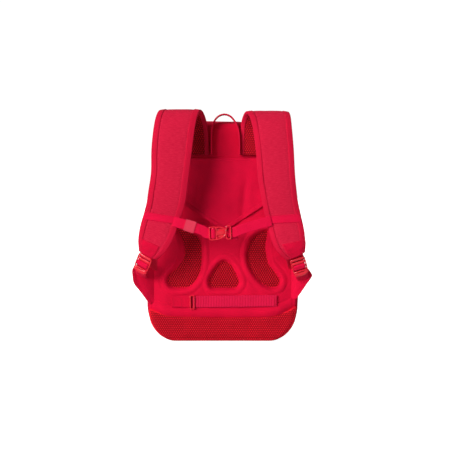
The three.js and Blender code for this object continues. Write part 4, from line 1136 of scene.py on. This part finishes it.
def webbing(name, stations, width, thick, mat_, slot_name, cad, pitch=1.7, rib=0.10, step=1.3, across=13, wob=0.0, seed=1, taper=None):
    P, Wd, t = smooth_path(stations, step)
    d_ = unit(np.gradient(P, axis=0))
    Wd = unit(Wd - (Wd * d_).sum(-1, keepdims=True) * d_)
    N = np.cross(d_, Wd)
    a = np.linspace(-1, 1, across)
    prof = np.concatenate([np.stack([a, np.ones(across)], -1), np.stack([a[::-1], -np.ones(across)], -1)])
    ribs = np.sin(2 * math.pi * t / pitch)
    edge_ = 1 - 0.55 * sm(0.86, 1.0, np.abs(prof[:, 0]))
    H = prof[:, 1][None] * (thick / 2 * edge_[None] + rib * ribs[:, None] * (np.abs(prof[:, 0]) < 0.9)[None])
    if wob:
        H = H + wob * ripple(np.stack([t[:, None] * np.ones(len(prof)), prof[:, 0][None] * np.ones((len(t), 1)) * width / 2], -1), 40, seed)
    wd = width / 2 * (np.ones(len(t)) if taper is None else taper(t))
    rings = P[:, None] + Wd[:, None] * (prof[:, 0][None, :, None] * wd[:, None, None]) + N[:, None] * H[..., None]
    # troughs between the ribs, passed on as depth: the ribbed webbing paints them darker as shade
    depth = np.tile((0.5 - 0.5 * ribs)[:, None], (1, len(prof)))
    ob = tube(name, rings, mat_, depth=depth)
    return finish_piece(ob, slot_name, *( [cad] if cad else []))


BT = math.radians(BUCKLE["tilt"])
BU, BW, BHn = np.array([math.cos(BT), 0, math.sin(BT)]), np.array([-math.sin(BT), 0, math.cos(BT)]), np.array([0, -1.0, 0])
BO = np.array([BUCKLE["x"], BUCKLE["y"], BUCKLE["z"]]) - BU * BUCKLE["half"]
bk = lambda a, b, c: BO + BU * a + BW * b + BHn * c
tw = lambda deg: np.array([math.sin(math.radians(deg)), 0, math.cos(math.radians(deg))])
webbing("chest_web_left_tape", [
    ((-97, -167.6, 247.1), tw(12), 4), ((-89, -168.6, 245.1), tw(13), 6), ((-77, -168.6, 241.4), tw(14), 6), ((-52, -168.6, 233.8), tw(17), 10), ((-38, -167.6, 229), tw(15), 8),
    (bk(-4, 0, -3.2), tw(3), 3), (bk(4.9, 0, -2.9), BW, 1.6), (bk(4.9, 0, 2.7), BW, 1.6), (bk(12.0, 0, 2.7), BW, 1.6), (bk(12.0, 0, -2.6), BW, 1)],
    20, 1.3, M["web"], "webbing", "chest_web_left", wob=0.25, seed=71)
webbing("chest_web_right_tape", [
    ((97, -167.8, 247.9), tw(-11), 4), ((88, -168.8, 245.6), tw(-12), 6), ((70, -168.8, 241.2), tw(-13), 8), ((45, -170.6, 233.8), tw(-13), 8),
    (bk(51, 0.3, 0.6), tw(-8), 5), (bk(46.6, 0, 0.2), BW, 1.6), (bk(44.4, 0, -2.9), BW, 1.2), (bk(38.6, 0, -3.4), BW, 1.2), (bk(38.2, -0.6, -5.0), BW, 1.2), (bk(47, -3.6, -5.4), tw(-4), 4), (bk(58, -6.0, -5.8), tw(-10), 2)],
    20, 1.3, M["web"], "webbing", "chest_web_right", wob=0.25, seed=72)

# elastic keeper round the chest strap
dirk = unit([25, -0.6, -7.6])
wk = np.array([0.29, 0, 0.957])
wk = unit(wk - (wk @ dirk) * dirk)
nk = np.cross(dirk, wk)
ck = np.array([-64.5, -168.3, 237.6])
ang = np.linspace(0, 2 * math.pi, 72, endpoint=False)
sup = lambda a, b, p: np.stack([np.sign(np.cos(ang)) * np.abs(np.cos(ang)) ** p * a, np.sign(np.sin(ang)) * np.abs(np.sin(ang)) ** p * b], -1)
sec = []
tk = np.linspace(-10.5, 10.5, 40)
for x in tk:
    rib = 0.14 * math.cos(2 * math.pi * x / 2.1) + 0.12 * sm(8.2, 9.2, abs(x))
    sec.append(("o", x, rib))
outer = np.array([ck + dirk * x + (sup(11.7, 2.15, 0.35) * (1 + np.array([rib / 11.7, rib / 2.15])))[:, :1] * wk + (sup(11.7, 2.15, 0.35) * (1 + np.array([rib / 11.7, rib / 2.15])))[:, 1:] * nk for _, x, rib in sec])
inner_ = np.array([ck + dirk * x + sup(10.7, 1.2, 0.35)[:, :1] * wk + sup(10.7, 1.2, 0.35)[:, 1:] * nk for _, x, _ in sec])
rings = np.concatenate([outer, inner_[::-1]])
ob = tube("keeper_elastic", rings, M["elastic"], closed=True)
finish_piece(ob, "elastic", "web_keeper")

# adjuster webbing and side tabs
for side in ("left", "right"):
    L_, s_ = LOCKS[side], (-1 if side == "left" else 1)
    down = unit(L_["down"])
    across = np.array(L_["across"], float)
    across = unit(across - (across @ down) * down)
    out = np.cross(across, down)
    if out[1] > 0:
        out = -out
    o = np.array(L_["o"], float)
    qq = lambda a, b: o + down * a + out * b
    start_ = np.array([s_ * 164.5, -103.5, 131.0 if side == "left" else 127.0])
    webbing(f"adjuster_web_{side}_tape", [
        (start_, (1, 0, s_ * 0.2), 3), (qq(41, -3.8), across, 5), (qq(24.5, -2.9), across, 1.6), (qq(24.5, 2.9), across, 1.6),
        (qq(15, 2.9), across, 1.6), (qq(15, -2.9), across, 1.6), (qq(7, -3.4), across, 2)],
        24.4, 1.4, M["web"], "webbing", f"adjuster_web_{side}", seed=81)

    tab = TAB[side]
    rr, cc = 80, 44
    tz = np.linspace(tab[0, 0], tab[-1, 0], rr)
    q2 = row(tab, np.interp(np.linspace(0, 1, 400), [0, 1], [0, len(tab) - 1]))
    ox, oy = np.interp(tz, q2[:, 0], q2[:, 1])[:, None], np.interp(tz, q2[:, 0], q2[:, 2])[:, None]
    t = np.linspace(0, 1, cc)[None]
    zz = tz[:, None] * np.ones_like(t)
    x = 141 + t * (ox - 141)
    y_in = panel_y(np.full_like(tz, 141.0), tz)[0][:, None] + 0.6
    y = y_in + t * (oy - y_in) - 2.5 * np.sin(math.pi * t) * sm(78, 110, zz)
    reach = (ox - x)
    T2 = np.stack([x, zz], -1)
    # creases that fan from the adjuster to the seam
    fan = np.arctan2(zz - 150, x - 178)
    y = y + 0.45 * np.sin(fan * 7 + 1.0) * sm(0, 14, reach) * sm(0, 10, x - 141) * sm(86, 110, zz) + 0.2 * ripple(T2, 30, 91)
    y = y - 0.5 * sm(6.5, 5.2, reach)
    face = np.stack([s_ * x, y - 0.9, zz], -1)
    back = np.stack([s_ * x, y + 0.9 + 0.3 * sm(6.5, 5.2, reach), zz], -1)
    ob = slab(f"side_tab_{side}_cloth", face, back, np.stack([x, zz], -1) * 0.001, M["cloth"])
    finish_piece(ob, "cloth", f"side_tab_{side}")
    line = np.array([np.interp(ox[i, 0] - 5.6, x[i], face[i, :, 0]) for i in range(rr)])
    liney = np.array([np.interp(ox[i, 0] - 5.6, x[i], face[i, :, 1]) for i in range(rr)])
    sew("tabs", np.stack([line, liney - 0.05, tz], -1)[4:-2], np.tile([0.0, -1, 0], (rr - 6, 1)))

# the edge tape carries on from the inner corner of each strap end to the seam of the bag
for side, table in (("left", STRAP_LEFT), ("right", STRAP_RIGHT)):
    s_ = -1 if side == "left" else 1
    sl = np.array([13.9, 14.5, 14.97])
    at_ = strap_at(table, sl, np.full(3, -s_ * 0.80), np.full(3, -1.6))
    seam_pt = np.array([s_ * 142.5, -92.5, 146.0 if side == "left" else 150.0])
    mid_ = (at_[-1] + seam_pt) / 2 + np.array([-s_ * 1.0, -3.0, 2.0])
    lean = np.array([1, 0.0, -s_ * -0.35])
    webbing(f"tape_tail_{side}", [(at_[0], lean, 3), (at_[1], lean, 5), (at_[2], lean, 6), (mid_, lean, 10), (seam_pt, lean, 3)],
            15, 1.3, M["binding"], "binding", None, pitch=1.2, rib=0.02, step=1.6, across=9)

# haul loop
LP = np.array([[-24.5, -104, 381], [-24.5, -104, 410], [-22.5, -103.5, 432], [-17.5, -102, 447], [-9, -100, 458], [3.5, -99, 462.5],
               [16, -100, 458.5], [25, -102, 447], [30, -103.5, 432], [31.5, -104, 410], [31.5, -104, 381]], float)
LP[7:, 0] += [0.6, 2.2, 3.2, 3.4]
LP[:3, 0] += [2.2, 2.0, 1.0]
lp = resample(row(LP, np.linspace(0, len(LP) - 1, 400)), 1.6)
dl = unit(np.gradient(lp, axis=0))
nl = unit(np.cross(dl, [0, 1, 0]))
ang = np.linspace(0, 2 * math.pi, 40, endpoint=False)
sq = lambda c, p: np.sign(c) * np.abs(c) ** p
hl = 1.45 + 0.08 * np.sin(2 * math.pi * np.arange(len(lp)) * 1.6 / 2.6)
rings = lp[:, None] + sq(np.cos(ang), 0.45)[None, :, None] * 9.8 * np.array([0, 1.0, 0]) + sq(np.sin(ang), 0.7)[None, :, None] * hl[:, None, None] * nl[:, None]
ob = tube("haul_loop_webbing", rings, M["cloth"])
finish_piece(ob, "cloth", "haul_loop")
for yo in (-6.6, 6.6):
    for sg in (1, -1):
        sew("haul", (lp + [0, yo, 0] + nl * sg * 1.45)[6:-6], (nl * sg)[6:-6])

# webbing low on the back panel
YW, SX, ZW = -102.4, -62.0, 80.5
webbing("lower_web_tape", [((-60.8, YW + 2.4, ZW), (0, 0, 1), 2), ((-52, YW + 1.8, ZW), (0, 0, 1), 4), ((20, YW + 1.4, ZW + 0.6), (0, 0, 1), 10), ((111, YW + 1.6, ZW + 2), (0, 0, 1), 2)],
        24, 1.6, M["ribbed"], "webbing", "lower_web", pitch=3.3, rib=0.28, step=0.42, across=11, wob=0.15, seed=95)
webbing("lower_web_tab_tape", [((-104, YW + 1.6, ZW), (0, 0, 1), 2), ((-70, YW + 2.2, ZW), (0, 0, 1), 4), ((-63.4, YW + 2.4, ZW), (0, 0, 1), 2)],
        24, 1.6, M["panel"], "webbing", "lower_web_tab", pitch=3.3, rib=0.1, step=0.6, across=11)


def box_stitch(group, x0, x1, z0, z1, y):
    line = lambda a, b: (np.linspace(a, b, 30), np.tile([0.0, -1, 0], (30, 1)))
    A, B, C, D_ = ([x0, y, z0], [x1, y, z0], [x1, y, z1], [x0, y, z1])
    for p, q_ in ((A, B), (B, C), (C, D_), (D_, A)):
        P, N = line(np.array(p, float), np.array(q_, float))
        sew(group, P, N, pitch=2.6, length=1.9)


box_stitch("webs", -101, -84, ZW - 9.5, ZW + 9.5, YW + 0.7)
for k in range(4):
    P = np.stack([np.full(20, 105.5 + 1.1 * k), np.full(20, YW + 0.65), np.linspace(ZW + 2 - 10.5, ZW + 2 + 10.5, 20)], -1)
    sew("webs", P, np.tile([0.0, -1, 0], (20, 1)), pitch=1.5, length=1.3)

for g, nm in (("strap_left", "strap_left_stitching"), ("strap_right", "strap_right_stitching"), ("flap", "flap_stitching"),
              ("tabs", "tab_stitching"), ("haul", "haul_loop_stitching"), ("webs", "web_stitching")):
    finish_piece(knot_stitches(nm, g, M["thread"]), "binding")

# ---------------------------------------------------------------- moulded fittings, of rounded bars
def bar(P, N, a_, b_, closed=False, sides=14, p_=0.75, dense=5, taper=True):
    """A rounded bar along points P, with half width a_ in its plane and half thickness b_ along N."""
    P = np.asarray(P, float)
    nP = len(P)
    t = np.linspace(0, nP, nP * dense, endpoint=False) if closed else np.linspace(0, nP - 1, (nP - 1) * dense + 1)
    Q = row(P, t, closed=closed)
    d_ = unit(np.roll(Q, -1, 0) - np.roll(Q, 1, 0)) if closed else unit(np.gradient(Q, axis=0))
    B = unit(np.cross(d_, np.broadcast_to(N, Q.shape)))
    Nn = np.cross(B, d_)
    ang_ = np.linspace(0, 2 * math.pi, sides, endpoint=False)
    k = np.ones(len(Q))
    if not closed and taper:
        k[0] = k[-1] = 0.72
    ca = np.sign(np.cos(ang_)) * np.abs(np.cos(ang_)) ** p_
    sa = np.sign(np.sin(ang_)) * np.abs(np.sin(ang_)) ** p_
    R_ = Q[:, None] + k[:, None, None] * (a_ * ca[None, :, None] * B[:, None] + b_ * sa[None, :, None] * Nn[:, None])
    n_, m_ = R_.shape[:2]
    ids_ = np.arange(n_ * m_).reshape(n_, m_)
    nj = np.roll(ids_, -1, 1)
    if closed:
        F_ = np.stack([ids_, nj, np.roll(nj, -1, 0), np.roll(ids_, -1, 0)], -1).reshape(-1, 4)
    else:
        F_ = np.stack([ids_[:-1], nj[:-1], nj[1:], ids_[1:]], -1).reshape(-1, 4)
    faces_ = [tuple(f) for f in F_]
    V_ = R_.reshape(-1, 3)
    if not closed:
        faces_ += [tuple(ids_[0][::-1]), tuple(ids_[-1])]
    mid_ = V_.mean(0)
    if quad_volume(V_ - mid_, F_) < 0:
        faces_ = [f[::-1] for f in faces_]
    return V_, faces_


def fitting(name, bars, cad):
    VV, FF, base = [], [], 0
    for V_, F_ in bars:
        VV.append(V_)
        FF += [tuple(i + base for i in f) for f in F_]
        base += len(V_)
    ob = build(name, np.concatenate(VV), FF, M["plastic"])
    return finish_piece(ob, "plastic", cad)


def rounded(a0, a1, b0, b1, r_):
    """Corners of a rounded rectangle, as points along it."""
    q_ = r_ * 0.3
    return [(a0 + r_, b1), ((a0 + a1) / 2, b1), (a1 - r_, b1), (a1 - q_, b1 - q_), (a1, b1 - r_), (a1, (b0 + b1) / 2), (a1, b0 + r_), (a1 - q_, b0 + q_),
            (a1 - r_, b0), ((a0 + a1) / 2, b0), (a0 + r_, b0), (a0 + q_, b0 + q_), (a0, b0 + r_), (a0, (b0 + b1) / 2), (a0, b1 - r_), (a0 + q_, b1 - q_)]


on = lambda pts, h: [bk(a_, b_, h) for a_, b_ in pts]
fitting("buckle_prongs", [
    bar(on(rounded(1.2, 14.6, -12.4, 12.4, 2.4), 0.0), BHn, 1.3, 1.9, closed=True),
    bar(on([(8.4, -12), (8.4, 0), (8.4, 12)], -0.2), BHn, 1.5, 1.4),
    bar(on([(14, 11.2), (19, 12.0), (24.5, 11.6), (29.5, 9.4), (34, 6.4)], 0.9), BHn, 1.35, 1.9),
    bar(on([(14, -11.4), (19.5, -11.4), (25, -9.2), (30, -6.0), (34, -3.4)], 0.9), BHn, 1.35, 1.9),
    bar(on([(14, 0.4), (22, 0.8), (31, 1.6)], 0.1), BHn, 4.4, 1.1, p_=0.5)], "buckle_male")
fitting("buckle_body", [
    bar(on([(17, -0.6), (25, 0), (33, 0.8)], -2.6), BHn, 9.0, 1.3, p_=0.35),
    bar(on([(34.6, 7.6), (34.9, 11), (36.6, 13.3), (39.6, 14.0), (42.3, 12.8), (43.2, 9.6), (43.3, 0), (42.9, -9), (41.4, -12.2), (38.4, -13.0),
            (35.6, -11.6), (34.3, -8), (32.6, 0.2)], 0.7), BHn, 1.35, 2.7, closed=True),
    bar(on([(29, 9.8), (32.0, 5.0), (32.8, 0.2), (31.8, -4.4), (29, -8.0)], 1.0), BHn, 1.5, 2.3)], "buckle_female")

for side in ("left", "right"):
    Lk = LOCKS[side]
    dn = unit(Lk["down"])
    ac_ = np.array(Lk["across"], float)
    ac_ = unit(ac_ - (ac_ @ dn) * dn)
    ot = np.cross(ac_, dn)
    ot = -ot if ot[1] > 0 else ot
    ko = np.array(Lk["o"], float)
    pt = lambda pts: [ko + dn * a_ + ac_ * b_ + ot * c_ for a_, b_, c_ in pts]
    fitting(f"adjuster_{side}", [
        bar(pt([(2.2, -14.2, 0.5), (1.8, 0, 0.9), (2.2, 14.2, 0.5)]), ot, 3.0, 2.3),
        bar(pt([(10.6, -13.5, 0.1), (10.6, 0, 0.2), (10.6, 13.5, 0.1)]), ot, 3.0, 2.0),
        bar(pt([(19.8, -13.5, 0.0), (19.8, 0, 0.0), (19.8, 13.5, 0.0)]), ot, 2.6, 1.6),
        bar(pt([(1.6, -14.1, 0.2), (12, -14.4, 0.2), (24, -14.3, 0.4), (33, -12.8, 0.8)]), ot, 1.3, 2.0),
        bar(pt([(1.6, 14.1, 0.2), (12, 14.4, 0.2), (24, 14.3, 0.4), (33, 12.8, 0.8)]), ot, 1.3, 2.0),
        bar(pt([(29.6, -13.0, 1.0), (29.2, -6, 1.6), (29.0, 0, 1.8), (29.2, 6, 1.6), (29.6, 13.0, 1.0)]), ot, 1.5, 2.0),
        bar(pt([(31.5, -12.8, 0.6), (35.4, -8.6, 1.2), (36.6, 0, 1.5), (35.4, 8.6, 1.2), (31.5, 12.8, 0.6)]), ot, 4.3, 1.5, p_=0.9)],
        f"ladder_lock_{side}")

on_web = lambda pts: [np.array([SX + a_, YW - 0.7, ZW - 1 + b_]) for a_, b_ in pts]
fitting("lower_slider", [bar(on_web(rounded(-3.9, 3.9, -13.5, 13.5, 1.6)), np.array([0, -1.0, 0]), 1.1, 1.5, closed=True)], "lower_web_slider")


def softened(node_name, name, width):
    """The carried-over piece again, welded and with its edges rounded."""
    bm = bmesh.new()
    bm.from_mesh(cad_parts[node_name].data)
    bmesh.ops.remove_doubles(bm, verts=bm.verts[:], dist=1e-5)
    bmesh.ops.dissolve_limit(bm, angle_limit=0.02, verts=bm.verts[:], edges=bm.edges[:])
    sharp = [e for e in bm.edges if len(e.link_faces) == 2 and e.calc_face_angle(0) > 0.5]
    bmesh.ops.bevel(bm, geom=sharp, offset=width, segments=3, profile=0.5, affect="EDGES", clamp_overlap=True)
    bmesh.ops.dissolve_degenerate(bm, dist=1e-6, edges=bm.edges[:])
    me_ = bpy.data.meshes.new(name)
    bm.to_mesh(me_)
    bm.free()
    me_.materials.append(M["plastic"])
    me_.polygons.foreach_set("use_smooth", np.full(len(me_.polygons), True))
    ob_ = bpy.data.objects.new(name, me_)
    bpy.context.scene.collection.objects.link(ob_)
    return finish_piece(ob_, "plastic", node_name)


softened("zip_slider", "zip_slider_body", 0.0009)
softened("zip_pull", "zip_pull_tab", 0.0009)

# ---------------------------------------------------------------- floor, light and camera
me = bpy.data.meshes.new("floor")
me.from_pydata([(-30, -30, -0.0004), (30, -30, -0.0004), (30, 30, -0.0004), (-30, 30, -0.0004)], [], [(0, 1, 2, 3)])
floor = bpy.data.objects.new("floor", me)
bpy.context.scene.collection.objects.link(floor)
m, nt, sh = material("pale_floor")
sh.inputs["Base Color"].default_value = (0.68, 0.68, 0.68, 1)
sh.inputs["Roughness"].default_value = 0.9
sh.inputs["Specular IOR Level"].default_value = 0.0
seen = nt.nodes.new("ShaderNodeLightPath")
glow = nt.nodes.new("ShaderNodeEmission")
gain = node(nt, "ShaderNodeMath", {1: 0.94}, operation="MULTIPLY")
add = nt.nodes.new("ShaderNodeAddShader")
nt.links.new(seen.outputs["Is Camera Ray"], gain.inputs[0])
nt.links.new(gain.outputs[0], glow.inputs["Strength"])
nt.links.new(sh.outputs[0], add.inputs[0])
nt.links.new(glow.outputs[0], add.inputs[1])
nt.links.new(add.outputs[0], next(n_ for n_ in nt.nodes if n_.type == "OUTPUT_MATERIAL").inputs["Surface"])
me.materials.append(m)

world = bpy.data.worlds.new("studio")
world.use_nodes = True
bpy.context.scene.world = world
wn = world.node_tree
wn.nodes.clear()
wo = wn.nodes.new("ShaderNodeOutputWorld")
soft = wn.nodes.new("ShaderNodeBackground")
soft.inputs["Color"].default_value = (1, 1, 1, 1)
soft.inputs["Strength"].default_value = 0.19
white = wn.nodes.new("ShaderNodeBackground")
white.inputs["Color"].default_value = (1, 1, 1, 1)
white.inputs["Strength"].default_value = 1.05
lp_ = wn.nodes.new("ShaderNodeLightPath")
mx = wn.nodes.new("ShaderNodeMixShader")
wn.links.new(lp_.outputs["Is Camera Ray"], mx.inputs[0])
wn.links.new(soft.outputs[0], mx.inputs[1])
wn.links.new(white.outputs[0], mx.inputs[2])
wn.links.new(mx.outputs[0], wo.inputs["Surface"])


def sun(name, direction, strength, angle):
    li = bpy.data.lights.new(name, "SUN")
    li.energy = strength
    li.angle = math.radians(angle)
    ob = bpy.data.objects.new(name, li)
    ob.rotation_euler = Vector(direction).to_track_quat("-Z", "Y").to_euler()
    bpy.context.scene.collection.objects.link(ob)
    return ob


# a large soft light from the upper left in front, and a weak one from behind and above
sun("key", (0.66, 0.76, -0.34), 3.65, 34)
sun("key_low", (0.56, 0.84, -0.06), 0.95, 50)
sun("back", (-0.5, -0.7, -0.9), 0.8, 60)



def spot(name, place, aim, power, cone, size):
    li = bpy.data.lights.new(name, "SPOT")
    li.energy = power
    li.spot_size = math.radians(cone)
    li.spot_blend = 1.0
    li.shadow_soft_size = size
    ob = bpy.data.objects.new(name, li)
    ob.location = place
    ob.rotation_euler = (Vector(aim) - Vector(place)).to_track_quat("-Z", "Y").to_euler()
    bpy.context.scene.collection.objects.link(ob)
    return ob


# soft low fills on the two lower corners of the harness
spot("fill_left", (0.30, -1.25, 0.03), (-0.122, -0.055, 0.170), 11, 7.5, 0.05)
spot("fill_right", (0.10, -1.30, 0.30), (0.150, -0.12, 0.165), 1.4, 6.0, 0.06)

cam = bpy.data.cameras.new("camera")
cam.sensor_width = 36
cam.lens = 36 * 1070.56 / 450
cam.clip_end = 200
camera = bpy.data.objects.new("camera", cam)
bpy.context.scene.collection.objects.link(camera)
target = Vector((0.00534, -0.03765, 0.2395))
elev = math.radians(2.0)
camera.location = target + Vector((0, -math.cos(elev), math.sin(elev))) * 2.2
camera.rotation_euler = (target - camera.location).to_track_quat("-Z", "Y").to_euler()
bpy.context.scene.camera = camera

vs = bpy.context.scene.view_settings
vs.view_transform = "Standard"
vs.look = "None"
vs.exposure = 0
vs.gamma = 1

bpy.context.view_layer.update()
